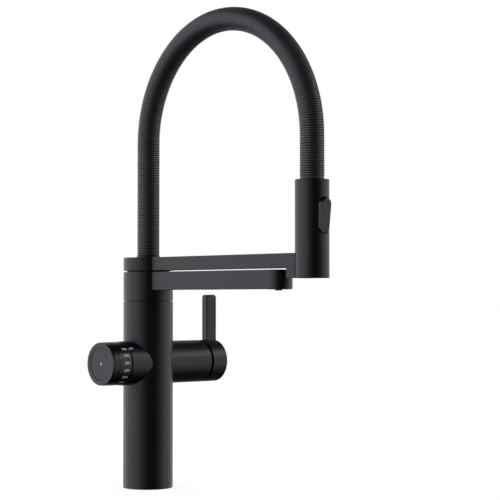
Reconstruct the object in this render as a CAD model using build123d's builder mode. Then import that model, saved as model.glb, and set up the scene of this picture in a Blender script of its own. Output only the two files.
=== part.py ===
from build123d import *

import math
import os

os.makedirs("parts", exist_ok=True)

# A kitchen tap for mixed and filtered water, in millimetres.
# The origin is the centre of the column's foot and +Z is up. The arms and the hand spray
# reach towards -Y, the dial faces -X and the mixing lever stands on the +X side.

# Clearances
fit = 0.1
running = 0.08
slip = 0.3

# Column and its foot
column_r = 25.0
column_wall = 2.5
foot_chamfer = 0.4
seal_h = 2.0
seal_w = 2.4
plate_h = 16.0
stud_hole_r = 2.5
stud_web = 1.0
inlet_r = 4.5
inlet_depth = 8.0
cable_r = 3.0
cold_at = (9.5, -7.0)
hot_at = (9.5, 7.0)
filtered_x = -2.0
filtered_edge = 5.5
mixed_at = (9.5, 0.0)
pipe_r = 4.0
pipe_wall = 1.0
pipe_seat = 4.0
passage_r = 2.5

# Valve body, at the height of the side barrels
barrel_z = 125.0
valve_h = 56.0
valve_gap = 2.0
valve_web = 12.0
socket_r = 12.0
cable_passage_x = -13.0
flange_gap = 0.5

# Mixer barrel and cartridge
mixer_wall = 2.0
housing_wall = 1.9
housing_base = 3.0
cartridge_r = 17.4
cartridge_wall = 3.9
cartridge_h = 33.0
cartridge_inset = 10.0
cartridge_base = 3.0
disc_h = 4.0
disc_travel = 2.3
disc_slot_r = 2.9
disc_slot_depth = 2.5
mixed_port_z = 6.0
nut_grip = 4.0
nut_lip = 1.0
dome_shoulder = 1.2
dome_mouth_r = 14.5

# Lever
pivot_rise = 7.0
lever_gap = 3.0
cap_h = 18.6
cap_rim = 2.5
cap_recess = 5.2
cap_edge = 0.8
stem_w = 6.4
stem_foot_r = 2.0
stem_foot_seat = 1.0
stem_foot_h = 4.0
stem_tip = 4.0
carrier_foot = 5.0
tilt_pin_r = 1.5
tilt_down = 9.2
tilt_up = 5.5
bar_w = 13.4
bar_t = 8.0
bar_h = 46.9
bar_seat = 1.5
bar_corner = 3.2
bar_edge = 0.7
tenon_r = 3.0
tenon_h = 12.0
grub_r = 2.0
grub_len = 8.0
grub_inset = 7.5
plug_r = 2.8
plug_h = 1.6

# Dial side
dial_barrel_r = 21.9
dial_barrel_wall = 2.0
light_w = 2.2
light_len = 4.7
light_angle = 44.0
encoder_out = 1.9
encoder_lip = 2.0
encoder_wall = 2.3
encoder_base = 3.0
board_h = 1.6
switch_h = 3.6
switch_w = 6.0
journal_plate_h = 2.5
detent_h = 3.0
detent_w = 3.4
detents = 18
detent_r = 1.2
dial_step = 0.5
dial_gap = 2.5
dial_len = 21.9
dial_wall = 2.8
dial_edge_len = 2.7
dial_edge_drop = 0.35
band_len = 13.7
band_groove = 1.0
band_groove_depth = 0.4
face_lip = 2.5
face_border = 5.3
face_recess = 0.8
face_h = 3.6
face_skin = 1.6
face_flange = 1.5
press_travel = 1.0
hub_r = 9.0
hub_web = 4.0
web_inset = 5.4
journal_r = 6.0
journal_gap = 3.5
clip_h = 1.0
clip_w = 2.5
clip_depth = 0.8
plunger_r = 1.9
dot_r = 2.0
dot_depth = 1.2
spring_wire_r = 0.3
spring_r = 3.2
spring_turns = 4

# Swivel spigot inside the two heads
column_above = 61.8
spigot_flange = 18.8
spigot_r = 17.0
spigot_bore = 5.0
upper_journal_r = 10.5
spigot_thread_r = 8.0
slide_ring_h = 2.0
cross_rise = 7.0
port_web = 1.6
oring_r = 0.9
oring_spacing = 10.0
groove_w = 2.2
nut_h = 3.5
nut_r = 12.3
nut_play = 0.2

# Lower head with the filtered-water arm
swivel_gap = 0.3
head_h = 28.8
arm_half = 13.0
spout_arm_h = 17.9
tip_gap = 10.0
arm_wall = 2.5
arm_edge = 0.5
water_ring_h = 6.0
water_ring_w = 1.4
spout_tube_r = 3.5
spout_tube_wall = 0.8
spout_tube_drop = 9.4
cover_h = 1.5
cover_ledge = 1.0
tip_web = 4.0
head_block = 3.0
outlet_r = 10.5
outlet_disc = 1.7
outlet_proud = 0.3
outlet_ledge = 2.6
outlet_cap = 0.2
nozzle_r = 3.3
nozzle_h = 6.4
nozzle_proud = 1.3
nozzle_hole_r = 0.5
nozzle_holes = 6

# Upper ring with the holder arm
neck_h = 1.5
neck_inset = 3.5
ring_h = 13.1
holder_roof = 2.5
holder_block = 16.0
dock_drop = 9.6
magnet_w = 12.0
magnet_t = 2.8
magnet_skin = 0.8
magnet_back = 0.9
magnet_floor = 1.7
dock_screw_gap = 3.3
dock_screw_inset = 3.5
dock_screw_r = 1.2
dock_screw_len = 15.0
screw_head_r = 2.1
screw_head_h = 1.7
screw_sink = 0.5
screw_socket_r = 0.9

# Hose
hose_r = 11.25
rib_depth = 0.65
rib_pitch = 2.6
sleeve_play = 1.0
water_hose_r = 7.0
water_hose_bore = 5.0
hose_stand = 115.1
arch_back_r = 112.0
ferrule_rim = 0.5
ferrule_h = 2.0
ferrule_seat = 1.2
nipple_bore = 3.0
barb_h = 12.0
nipple_stem_h = 11.0
collar_step = 0.25
collar_h = 3.0

# Hand spray
spray_reach = 233.0
spray_r = 15.7
spray_wall = 1.7
spray_h = 89.0
spray_edge = 1.0
spray_top_wall = 3.0
connector_h = 11.3
connector_flange = 3.5
connector_rim = 0.9
connector_bore = 4.0
check_h = 6.0
face_plate_h = 3.0
face_plate_sink = 0.3
aerator_border = 2.9
aerator_h = 9.2
aerator_hole_r = 1.0
aerator_holes = 6
inner_nozzles = 10
outer_nozzles = 14
nozzle_border = 2.7
nozzle_row = 3.3
spray_nozzle_r = 0.9
spray_nozzle_h = 4.2
diverter_gap = 4.7
side_passage_at = 9.0
keeper_t = 1.4
keeper_w = 14.0

# Rocker button on the spray
rocker_below = 33.0
rocker_half_h = 16.2
rocker_half_w = 6.5
rocker_gap = 0.4
rocker_end_gap = 0.8
rocker_hub_r = 2.1
rocker_base = 2.0
rocker_pivot_depth = 2.0
rocker_proud = 1.8
rocker_tilt = 8.0
rocker_taper = 12.0
rocker_pin_r = 1.0
rocker_pin_seat = 1.4
spool_r = 1.8
spool_rise = 9.0
spool_len = 13.0
spool_gap = 0.5
spool_travel = 3.0

# Radii shared by mating pieces
bore_r = column_r - column_wall
plate_r = bore_r - fit
valve_r = bore_r - valve_gap
mixer_r = cartridge_r + housing_wall + mixer_wall + 2 * fit
housing_r = mixer_r - mixer_wall - fit
cartridge_bore_r = cartridge_r - cartridge_wall
dial_r = dial_barrel_r - dial_step
face_r = dial_r - face_border
encoder_r = dial_barrel_r - dial_barrel_wall - fit
groove_r = spigot_r - 2 * oring_r - fit
port_r = groove_r - port_web - passage_r
neck_r = column_r - neck_inset
thread_r = socket_r - fit
outlet_body_r = outlet_r - outlet_ledge
sleeve_bore = water_hose_r + sleeve_play
connector_r = water_hose_r + connector_rim
ferrule_r = hose_r + ferrule_rim
collar_r = hose_r - collar_step
dock_r = spray_r + slip
spray_bore_r = spray_r - spray_wall
spray_fill_r = spray_bore_r - fit
outer_nozzle_r = spray_fill_r - nozzle_border
inner_nozzle_r = outer_nozzle_r - nozzle_row
aerator_r = inner_nozzle_r - aerator_border

# Places in the foot's plan
stud_spacing = 2 * (plate_r - seal_w - stud_web - stud_hole_r)
filtered_at = (filtered_x, valve_r - filtered_edge)

# Levels, from the foot up
valve_bottom = barrel_z - valve_h / 2
valve_top = barrel_z + valve_h / 2
column_h = barrel_z + column_above
head_z = column_h + swivel_gap
head_top = head_z + head_h
spout_z = head_top - spout_arm_h
ring_z = head_top + neck_h
ring_top = ring_z + ring_h
slide_ring_z = head_z - slide_ring_h - swivel_gap
spigot_z = slide_ring_z - spigot_flange
spout_tube_z = head_top - spout_tube_drop
outlet_top = spout_tube_z + spout_tube_r + outlet_cap
counterbore_z = ring_top - nut_h - ferrule_seat - slip - nut_play
nut_z = counterbore_z + nut_play
ferrule_z = ring_top - ferrule_seat
ferrule_top = ring_top + ferrule_h
spray_z = ring_z - dock_drop
spray_top = spray_z + spray_h
collar_top = spray_top + collar_h
plate_level = spray_z + face_plate_sink
connector_z = spray_top - connector_h
diverter_z = plate_level + aerator_h + diverter_gap
arch_front_r = spray_reach - arch_back_r
arch_z = ring_top + hose_stand
arch_front_z = arch_z + arch_back_r - arch_front_r

# Stations along the arms, counted outwards from the column's axis
cavity_half = arm_half - arm_wall
cover_half = cavity_half + cover_ledge
magnet_face = spray_reach - dock_r - magnet_skin
dock_back = magnet_face - magnet_t - magnet_back
spout_reach = dock_back - tip_gap - arm_half

# Stations along the mixer barrel
socket_x = valve_web / 2
housing_x = valve_r + flange_gap
cartridge_x = housing_x + housing_base
cartridge_end = cartridge_x + cartridge_h
housing_end = cartridge_end + nut_grip
mixer_end = cartridge_end + cartridge_inset
disc_x = cartridge_x + cartridge_base
moving_disc_x = disc_x + disc_h
pivot_x = moving_disc_x + disc_h + pivot_rise
cap_x = mixer_end + lever_gap
cap_end = cap_x + cap_h
cap_floor = cap_x + cap_recess

# Stations along the dial barrel, counted outwards from the column's axis
encoder_x = valve_r + flange_gap
board_x = encoder_x + encoder_base
journal_plate_x = board_x + board_h + switch_h + press_travel + slip
detent_x = journal_plate_x + journal_plate_h
hub_x = detent_x + slip
encoder_end = detent_x + detent_h + encoder_lip
dial_barrel_end = encoder_end - encoder_out
dial_x = dial_barrel_end + dial_gap
web_x = dial_x + web_inset
dial_end = dial_x + dial_len
band_end = dial_x + band_len
lip_x = dial_end - face_lip
flange_end = lip_x - slip
face_end = dial_end - face_recess
face_x = face_end - face_h
journal_end = face_x - journal_gap
clip_x = journal_end - 2 * clip_h
hub_end = clip_x - slip

# Places of the rocker button, counted outwards from the hand spray's axis
opening_half_h = rocker_half_h + rocker_end_gap
opening_half_w = rocker_half_w + rocker_gap
rocker_level = spray_top - rocker_below
rocker_inner = spray_bore_r - rocker_base
rocker_pivot = rocker_inner - rocker_pivot_depth
rocker_face = spray_r + rocker_proud
pocket_floor = rocker_pivot - rocker_hub_r - slip


def level(z):
    """The horizontal plane at height z."""
    return Plane.XY.offset(z)


def spray_level(z):
    """The horizontal plane at height z, centred on the hand spray's axis."""
    return Plane(origin=(0, -spray_reach, z))


def across(x):
    """The plane across the barrels' axis at x, facing +X, its own Y upwards."""
    return Plane(origin=(x, 0, barrel_z), x_dir=(0, 1, 0), z_dir=(1, 0, 0))


def outward(s):
    """The plane across the barrels' axis on the dial side, s out from the column's axis."""
    return Plane(origin=(-s, 0, barrel_z), x_dir=(0, -1, 0), z_dir=(-1, 0, 0))


def upright(y):
    """The plane facing -Y at y, its own X along +X and its own Y upwards."""
    return Plane(origin=(0, y, 0), x_dir=(1, 0, 0), z_dir=(0, -1, 0))


def towards(place, z):
    """The plane at height z on the column's axis that faces a place in the plan."""
    return Plane(origin=(0, 0, z), z_dir=(place[0], place[1], 0))


def save(piece, name):
    """Label a finished piece and write it."""
    piece.part.label = name
    export_step(piece.part, f"parts/{name}.step")


# Column shell: a tube with a hole for each barrel's inner housing
with BuildPart() as column_shell:
    with BuildSketch(level(0)):
        Circle(column_r)
        Circle(bore_r, mode=Mode.SUBTRACT)
    extrude(amount=column_h)
    with BuildSketch(across(0)):
        Circle(housing_r + fit)
    extrude(amount=column_r, mode=Mode.SUBTRACT)
    with BuildSketch(outward(0)):
        Circle(encoder_r + fit)
    extrude(amount=column_r, mode=Mode.SUBTRACT)
    foot_edges = column_shell.edges().group_by(Axis.Z)[0]
    chamfer(foot_edges.sort_by(SortBy.RADIUS)[-1], foot_chamfer)
save(column_shell, "column_shell")

# Rubber seal between the column's foot and the worktop
with BuildPart() as base_seal:
    with BuildSketch(level(0)):
        Circle(plate_r)
        Circle(plate_r - seal_w + fit, mode=Mode.SUBTRACT)
    extrude(amount=seal_h)
save(base_seal, "base_seal")

# Base plate: a rebate for the seal, two fixing threads, three inlet sockets and a hole
# for the dial's cable
with BuildPart() as base_plate:
    with BuildSketch(level(0)):
        Circle(plate_r)
    extrude(amount=plate_h)
    with BuildSketch(level(0)):
        Circle(plate_r)
        Circle(plate_r - seal_w, mode=Mode.SUBTRACT)
    extrude(amount=seal_h, mode=Mode.SUBTRACT)
    with BuildSketch(level(0)):
        with GridLocations(stud_spacing, 0, 2, 1):
            Circle(stud_hole_r)
        Circle(cable_r)
        with Locations(cold_at, hot_at, filtered_at):
            Circle(passage_r)
    extrude(amount=plate_h, mode=Mode.SUBTRACT)
    with BuildSketch(level(0)):
        with Locations(cold_at, hot_at, filtered_at):
            Circle(inlet_r)
    extrude(amount=inlet_depth, mode=Mode.SUBTRACT)
    with BuildSketch(level(plate_h)):
        with Locations(cold_at, hot_at, filtered_at):
            Circle(pipe_r + fit)
    extrude(amount=-pipe_seat, mode=Mode.SUBTRACT)
save(base_plate, "base_plate")

# Three pipes from the base plate to the valve body, two from there to the swivel spigot
with BuildPart() as inner_pipes:
    for places, bottom, top in (
        ((cold_at, hot_at, filtered_at), plate_h - pipe_seat, valve_bottom + pipe_seat),
        ((mixed_at, filtered_at), valve_top - pipe_seat, spigot_z + pipe_seat),
    ):
        with BuildSketch(level(bottom)):
            with Locations(*places):
                Circle(pipe_r)
                Circle(pipe_r - pipe_wall, mode=Mode.SUBTRACT)
        extrude(amount=top - bottom)
save(inner_pipes, "inner_pipes")

# Valve body: a threaded socket for each barrel's housing, passages and pipe seats
with BuildPart() as valve_body:
    with BuildSketch(level(valve_bottom)):
        Circle(valve_r)
    extrude(amount=valve_h)
    for plane in (across(socket_x), outward(socket_x)):
        with BuildSketch(plane):
            Circle(socket_r)
        extrude(amount=valve_r, mode=Mode.SUBTRACT)
    with BuildSketch(level(valve_bottom)):
        with Locations(cold_at, hot_at, (cable_passage_x, 0)):
            Circle(passage_r)
    extrude(amount=valve_h / 2, mode=Mode.SUBTRACT)
    with BuildSketch(level(valve_top)):
        with Locations(mixed_at):
            Circle(passage_r)
    extrude(amount=-valve_h / 2, mode=Mode.SUBTRACT)
    with BuildSketch(level(valve_bottom)):
        with Locations(filtered_at):
            Circle(passage_r)
    extrude(amount=valve_h, mode=Mode.SUBTRACT)
    with BuildSketch(level(valve_bottom)):
        with Locations(cold_at, hot_at, filtered_at):
            Circle(pipe_r + fit)
    extrude(amount=pipe_seat, mode=Mode.SUBTRACT)
    with BuildSketch(level(valve_top)):
        with Locations(mixed_at, filtered_at):
            Circle(pipe_r + fit)
    extrude(amount=-pipe_seat, mode=Mode.SUBTRACT)
save(valve_body, "valve_body")

# Swivel spigot: flange in the column, a journal for each head and a thread for the nut
cross_z = spigot_z + cross_rise
filtered_out = math.hypot(*filtered_at)
port_at = (filtered_at[0] * port_r / filtered_out, filtered_at[1] * port_r / filtered_out)
seal_levels = (spout_tube_z - oring_spacing / 2, spout_tube_z + oring_spacing / 2)
with BuildPart() as swivel_spigot:
    for radius, bottom, top in (
        (plate_r, spigot_z, slide_ring_z),
        (spigot_r, slide_ring_z, head_top),
        (upper_journal_r, head_top, nut_z),
        (spigot_thread_r, nut_z, nut_z + nut_h),
    ):
        with BuildSketch(level(bottom)):
            Circle(radius)
        extrude(amount=top - bottom)
    with BuildSketch(level(cross_z)):
        Circle(spigot_bore)
    extrude(amount=nut_z + nut_h - cross_z, mode=Mode.SUBTRACT)
    with BuildSketch(level(spigot_z)):
        with Locations(mixed_at, filtered_at):
            Circle(passage_r)
    extrude(amount=cross_rise + passage_r, mode=Mode.SUBTRACT)
    with BuildSketch(level(spigot_z)):
        with Locations(mixed_at, filtered_at):
            Circle(pipe_r + fit)
    extrude(amount=pipe_seat, mode=Mode.SUBTRACT)
    with BuildSketch(towards(mixed_at, cross_z)):
        Circle(passage_r)
    extrude(amount=math.hypot(*mixed_at), mode=Mode.SUBTRACT)
    with BuildSketch(towards(filtered_at, cross_z).offset(port_r)):
        Circle(passage_r)
    extrude(amount=filtered_out - port_r, mode=Mode.SUBTRACT)
    with BuildSketch(level(cross_z)):
        with Locations(port_at):
            Circle(passage_r)
    extrude(amount=spout_tube_z - cross_z, mode=Mode.SUBTRACT)
    with BuildSketch(towards(filtered_at, spout_tube_z).offset(port_r)):
        Circle(passage_r)
    extrude(amount=spigot_r - port_r, mode=Mode.SUBTRACT)
    for z in seal_levels:
        with BuildSketch(level(z - groove_w / 2)):
            Circle(spigot_r + fit)
            Circle(groove_r, mode=Mode.SUBTRACT)
        extrude(amount=groove_w, mode=Mode.SUBTRACT)
save(swivel_spigot, "swivel_spigot")

# Two O-rings that seal the filtered water's way into the lower head
with BuildPart() as spigot_seals:
    with BuildSketch(Plane.XZ):
        with Locations(*((spigot_r - oring_r, z) for z in seal_levels)):
            Circle(oring_r)
    revolve(axis=Axis.Z)
save(spigot_seals, "spigot_seals")

# Slide rings: one carries the lower head, the other fills the gap between the heads
with BuildPart() as slide_rings:
    with BuildSketch(level(slide_ring_z)):
        Circle(plate_r - fit)
        Circle(spigot_r + fit, mode=Mode.SUBTRACT)
    extrude(amount=head_z - slide_ring_z)
    with BuildSketch(level(head_top)):
        Circle(neck_r)
        Circle(upper_journal_r + fit, mode=Mode.SUBTRACT)
    extrude(amount=neck_h)
save(slide_rings, "slide_rings")

# Nut that keeps both heads on the spigot
with BuildPart() as retaining_nut:
    with BuildSketch(level(nut_z)):
        RegularPolygon(nut_r, 6)
        Circle(spigot_thread_r + fit, mode=Mode.SUBTRACT)
    extrude(amount=nut_h)
save(retaining_nut, "retaining_nut")

# Mixer barrel, cut to the column's curve
with BuildPart() as mixer_barrel:
    with BuildSketch(across(0)):
        Circle(mixer_r)
        Circle(mixer_r - mixer_wall, mode=Mode.SUBTRACT)
    extrude(amount=mixer_end)
    with BuildSketch(level(barrel_z - mixer_r)):
        Circle(column_r)
    extrude(amount=2 * mixer_r, mode=Mode.SUBTRACT)
    mouth_edges = mixer_barrel.edges().group_by(Axis.X)[-1]
    chamfer(mouth_edges.sort_by(SortBy.RADIUS)[-1], foot_chamfer)
save(mixer_barrel, "mixer_barrel")

# The three water ports, seen along the barrel: cold, hot and mixed
ports = ((cold_at[1], 0), (hot_at[1], 0), (0, mixed_port_z))

# Cartridge housing, screwed into the valve body
with BuildPart() as cartridge_housing:
    with BuildSketch(across(socket_x)):
        Circle(thread_r)
    extrude(amount=housing_x - socket_x)
    with BuildSketch(across(housing_x)):
        Circle(housing_r)
    extrude(amount=housing_end - housing_x)
    with BuildSketch(across(cartridge_x)):
        Circle(cartridge_r + fit)
    extrude(amount=housing_end - cartridge_x, mode=Mode.SUBTRACT)
    with BuildSketch(across(mixed_at[0])):
        with Locations(*ports):
            Circle(passage_r)
    extrude(amount=cartridge_x - mixed_at[0], mode=Mode.SUBTRACT)
    with BuildSketch(level(barrel_z)):
        with Locations(cold_at, hot_at):
            Circle(passage_r)
    extrude(amount=-socket_r, mode=Mode.SUBTRACT)
    with BuildSketch(level(barrel_z + mixed_port_z)):
        with Locations(mixed_at):
            Circle(passage_r)
    extrude(amount=socket_r, mode=Mode.SUBTRACT)
save(cartridge_housing, "cartridge_housing")

# Cartridge body, a cup for the discs and the carrier
with BuildPart() as cartridge_body:
    with BuildSketch(across(cartridge_x)):
        Circle(cartridge_r)
    extrude(amount=cartridge_h)
    with BuildSketch(across(disc_x)):
        Circle(cartridge_bore_r)
    extrude(amount=cartridge_end - disc_x, mode=Mode.SUBTRACT)
    with BuildSketch(across(cartridge_x)):
        with Locations(*ports):
            Circle(passage_r)
    extrude(amount=cartridge_base, mode=Mode.SUBTRACT)
save(cartridge_body, "cartridge_body")

# Fixed ceramic disc with the three ports
with BuildPart() as fixed_disc:
    with BuildSketch(across(disc_x)):
        Circle(cartridge_bore_r - fit)
        with Locations(*ports):
            Circle(passage_r, mode=Mode.SUBTRACT)
    extrude(amount=disc_h)
save(fixed_disc, "fixed_disc")

# Moving ceramic disc: a pocket over the mixed port, a seat for the stem's foot
with BuildPart() as moving_disc:
    with BuildSketch(across(moving_disc_x)):
        Circle(cartridge_bore_r - disc_travel - slip)
    extrude(amount=disc_h)
    with BuildSketch(across(moving_disc_x)):
        with Locations((0, mixed_port_z - disc_travel)):
            Circle(passage_r)
    extrude(amount=disc_h - disc_slot_depth, mode=Mode.SUBTRACT)
    with BuildSketch(across(moving_disc_x + disc_h)):
        Circle(disc_slot_r)
    extrude(amount=-disc_slot_depth, mode=Mode.SUBTRACT)
save(moving_disc, "moving_disc")

# Carrier that turns in the cartridge and holds the stem's pin
carrier_r = cartridge_bore_r - slip
carrier_x = pivot_x - carrier_foot
carrier_end = cartridge_end - flange_gap
with BuildPart() as lever_carrier:
    with BuildSketch(across(carrier_x)):
        Circle(carrier_r)
        with Locations((0, (tilt_up - tilt_down) / 2)):
            Rectangle(stem_w + 2 * slip, tilt_up + tilt_down, mode=Mode.SUBTRACT)
    extrude(amount=carrier_end - carrier_x)
    with BuildSketch(upright(0)):
        with Locations((pivot_x, barrel_z)):
            Circle(tilt_pin_r + fit)
    extrude(amount=carrier_r, both=True, mode=Mode.SUBTRACT)
save(lever_carrier, "lever_carrier")

with BuildPart() as tilt_pin:
    with BuildSketch(upright(0)):
        with Locations((pivot_x, barrel_z)):
            Circle(tilt_pin_r)
    extrude(amount=carrier_r - slip, both=True)
save(tilt_pin, "tilt_pin")

# Cartridge nut with a domed front, centred on the lever's pivot
dome_x = mixer_end - flange_gap
dome_foot_r = housing_r - dome_shoulder
dome_r = math.hypot(dome_foot_r, dome_x - pivot_x)
dome_mouth_x = pivot_x + math.sqrt(dome_r**2 - dome_mouth_r**2)
barrel_profile = Plane(origin=(0, 0, barrel_z), x_dir=(1, 0, 0), z_dir=(0, -1, 0))
barrel_axis = Axis((0, 0, barrel_z), (1, 0, 0))
with BuildPart() as cartridge_nut:
    with BuildSketch(barrel_profile):
        with BuildLine():
            Polyline(
                (dome_mouth_x, dome_mouth_r),
                (cartridge_end, carrier_r - nut_lip),
                (cartridge_end, cartridge_r),
                (housing_end + fit, cartridge_r),
                (housing_end + fit, housing_r),
                (dome_x, housing_r),
                (dome_x, dome_foot_r),
            )
            RadiusArc((dome_x, dome_foot_r), (dome_mouth_x, dome_mouth_r), dome_r)
        make_face()
    revolve(axis=barrel_axis)
save(cartridge_nut, "cartridge_nut")

# Lever stem: a round foot in the moving disc, then square through carrier and cap
stem_foot_end = pivot_rise + stem_foot_seat
stem_x = pivot_x - stem_foot_h
stem_end = cap_end - stem_tip
with BuildPart() as lever_stem:
    with BuildSketch(across(pivot_x - stem_foot_end)):
        Circle(stem_foot_r)
    extrude(amount=stem_foot_end - stem_foot_h)
    with BuildSketch(across(stem_x)):
        Rectangle(stem_w, stem_w)
    extrude(amount=stem_end - stem_x)
    with BuildSketch(upright(0)):
        with Locations((pivot_x, barrel_z)):
            Circle(tilt_pin_r + running)
    extrude(amount=stem_w, both=True, mode=Mode.SUBTRACT)
save(lever_stem, "lever_stem")

# Lever cap: a shallow cup with holes for the stem, the bar's tenon and the grub screw
grub_x = cap_end - grub_inset
bar_x = cap_end - bar_w / 2
cap_top = barrel_z + mixer_r
cap_bottom = barrel_z - mixer_r
with BuildPart() as lever_cap:
    with BuildSketch(across(cap_x)):
        Circle(mixer_r)
    extrude(amount=cap_h)
    fillet(lever_cap.edges().group_by(Axis.X)[-1], cap_edge)
    with BuildSketch(across(cap_x)):
        Circle(mixer_r - cap_rim)
    extrude(amount=cap_recess, mode=Mode.SUBTRACT)
    with BuildSketch(across(cap_floor)):
        Rectangle(stem_w + 2 * fit, stem_w + 2 * fit)
    extrude(amount=stem_end - cap_floor, mode=Mode.SUBTRACT)
    with BuildSketch(level(cap_bottom)):
        with Locations((grub_x, 0)):
            Circle(grub_r + fit)
    extrude(amount=mixer_r, mode=Mode.SUBTRACT)
    with BuildSketch(level(cap_bottom)):
        with Locations((grub_x, 0)):
            Circle(plug_r + fit)
    extrude(amount=plug_h, mode=Mode.SUBTRACT)
    with BuildSketch(level(cap_top)):
        with Locations((bar_x, 0)):
            Circle(tenon_r + fit)
    extrude(amount=-tenon_h, mode=Mode.SUBTRACT)
save(lever_cap, "lever_cap")

# Lever bar: its lower end fits the cap's curve, and a tenon goes into the cap
with BuildPart() as lever_bar:
    with BuildSketch(level(cap_top - bar_seat)):
        with Locations((bar_x, 0)):
            Rectangle(bar_w, bar_t)
    extrude(amount=bar_h + bar_seat)
    fillet(lever_bar.edges().filter_by(Axis.Y).group_by(Axis.Z)[-1], bar_corner)
    chamfer(lever_bar.faces().filter_by(Axis.Y).edges(), bar_edge)
    add(lever_cap.part, mode=Mode.SUBTRACT)
    with BuildSketch(level(cap_top)):
        with Locations((bar_x, 0)):
            Circle(tenon_r)
    extrude(amount=-tenon_h)
save(lever_bar, "lever_bar")

# Grub screw that clamps the cap to the stem, with a hexagon socket below
with BuildPart() as lever_grub_screw:
    with BuildSketch(level(barrel_z - stem_w / 2)):
        with Locations((grub_x, 0)):
            Circle(grub_r)
    extrude(amount=-grub_len)
    with BuildSketch(level(barrel_z - stem_w / 2 - grub_len)):
        with Locations((grub_x, 0)):
            RegularPolygon(grub_r / 2, 6)
    extrude(amount=grub_r, mode=Mode.SUBTRACT)
save(lever_grub_screw, "lever_grub_screw")

# Plug over the grub screw, flush with the cap
with BuildPart() as lever_plug:
    with BuildSketch(level(cap_bottom)):
        with Locations((grub_x, 0)):
            Circle(plug_r)
    extrude(amount=plug_h)
    with BuildSketch(across(cap_x)):
        Circle(mixer_r)
    extrude(amount=cap_h, mode=Mode.INTERSECT)
save(lever_plug, "lever_plug")

# Dial barrel, cut to the column's curve, with a window for the lit mark in its edge
light_turn = math.radians(light_angle)
light_plane = Plane(
    origin=(-(dial_barrel_end - light_len / 2), 0, barrel_z),
    x_dir=(1, 0, 0),
    z_dir=(0, -math.cos(light_turn), math.sin(light_turn)),
)
with BuildPart() as dial_barrel:
    with BuildSketch(outward(0)):
        Circle(dial_barrel_r)
        Circle(dial_barrel_r - dial_barrel_wall, mode=Mode.SUBTRACT)
    extrude(amount=dial_barrel_end)
    with BuildSketch(level(barrel_z - dial_barrel_r)):
        Circle(column_r)
    extrude(amount=2 * dial_barrel_r, mode=Mode.SUBTRACT)
    with BuildSketch(light_plane):
        Rectangle(light_len + fit, light_w + fit)
    extrude(amount=dial_barrel_r + fit, mode=Mode.SUBTRACT)
save(dial_barrel, "dial_barrel")

with BuildPart() as indicator_light:
    with BuildSketch(outward(dial_barrel_end - light_len)):
        Circle(dial_barrel_r)
        Circle(dial_barrel_r - dial_barrel_wall, mode=Mode.SUBTRACT)
    extrude(amount=light_len)
    with BuildSketch(light_plane):
        Rectangle(light_len, light_w)
    extrude(amount=dial_barrel_r + fit, mode=Mode.INTERSECT)
save(indicator_light, "indicator_light")

# Encoder housing, screwed into the valve body, with a channel for the dial's cable
with BuildPart() as encoder_housing:
    with BuildSketch(outward(socket_x)):
        Circle(thread_r)
    extrude(amount=encoder_x - socket_x)
    with BuildSketch(outward(encoder_x)):
        Circle(encoder_r)
    extrude(amount=encoder_end - encoder_x)
    with BuildSketch(outward(board_x)):
        Circle(encoder_r - encoder_wall)
    extrude(amount=encoder_end - board_x, mode=Mode.SUBTRACT)
    with BuildSketch(outward(-cable_passage_x)):
        Circle(passage_r)
    extrude(amount=board_x + cable_passage_x, mode=Mode.SUBTRACT)
    with BuildSketch(level(barrel_z)):
        with Locations((cable_passage_x, 0)):
            Circle(passage_r)
    extrude(amount=-socket_r, mode=Mode.SUBTRACT)
save(encoder_housing, "encoder_housing")

# Encoder board with the push switch on it
encoder_fill_r = encoder_r - encoder_wall - fit
with BuildPart() as encoder_board:
    with BuildSketch(outward(board_x)):
        Circle(encoder_fill_r)
    extrude(amount=board_h)
    with BuildSketch(outward(board_x + board_h)):
        Rectangle(switch_w, switch_w)
    extrude(amount=switch_h)
save(encoder_board, "encoder_board")

# Journal plate: covers the board, carries the dial on a hollow journal and has a
# toothed rim for the dial's clicks
journal_bore = plunger_r + slip
with BuildPart() as journal_plate:
    with BuildSketch(outward(journal_plate_x)):
        Circle(encoder_fill_r)
    extrude(amount=journal_plate_h)
    with BuildSketch(outward(detent_x)):
        Circle(encoder_fill_r)
        Circle(encoder_fill_r - detent_w, mode=Mode.SUBTRACT)
        with PolarLocations(encoder_fill_r - detent_w, detents):
            Circle(detent_r, mode=Mode.SUBTRACT)
    extrude(amount=detent_h)
    with BuildSketch(outward(journal_plate_x)):
        Circle(journal_r)
    extrude(amount=journal_end - journal_plate_x)
    with BuildSketch(outward(journal_plate_x)):
        Circle(journal_bore)
    extrude(amount=journal_end - journal_plate_x, mode=Mode.SUBTRACT)
    with BuildSketch(outward(clip_x)):
        Circle(journal_r)
        Circle(journal_r - clip_depth, mode=Mode.SUBTRACT)
    extrude(amount=clip_h, mode=Mode.SUBTRACT)
save(journal_plate, "journal_plate")

# Dial hub: a sleeve on the journal, a collar inside the toothed rim and a web that
# carries the dial ring
with BuildPart() as dial_hub:
    with BuildSketch(outward(hub_x)):
        Circle(hub_r)
    extrude(amount=hub_end - hub_x)
    with BuildSketch(outward(hub_x)):
        Circle(encoder_fill_r - detent_w - detent_r)
    extrude(amount=detent_h)
    with BuildSketch(outward(web_x)):
        Circle(dial_r - dial_wall - fit)
    extrude(amount=hub_web)
    with BuildSketch(outward(hub_x)):
        Circle(journal_r + running)
    extrude(amount=hub_end - hub_x, mode=Mode.SUBTRACT)
save(dial_hub, "dial_hub")

with BuildPart() as dial_clip:
    with BuildSketch(outward(clip_x)):
        Circle(journal_r + clip_w)
        Circle(journal_r - clip_depth + running, mode=Mode.SUBTRACT)
    extrude(amount=clip_h)
save(dial_clip, "dial_clip")

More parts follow.
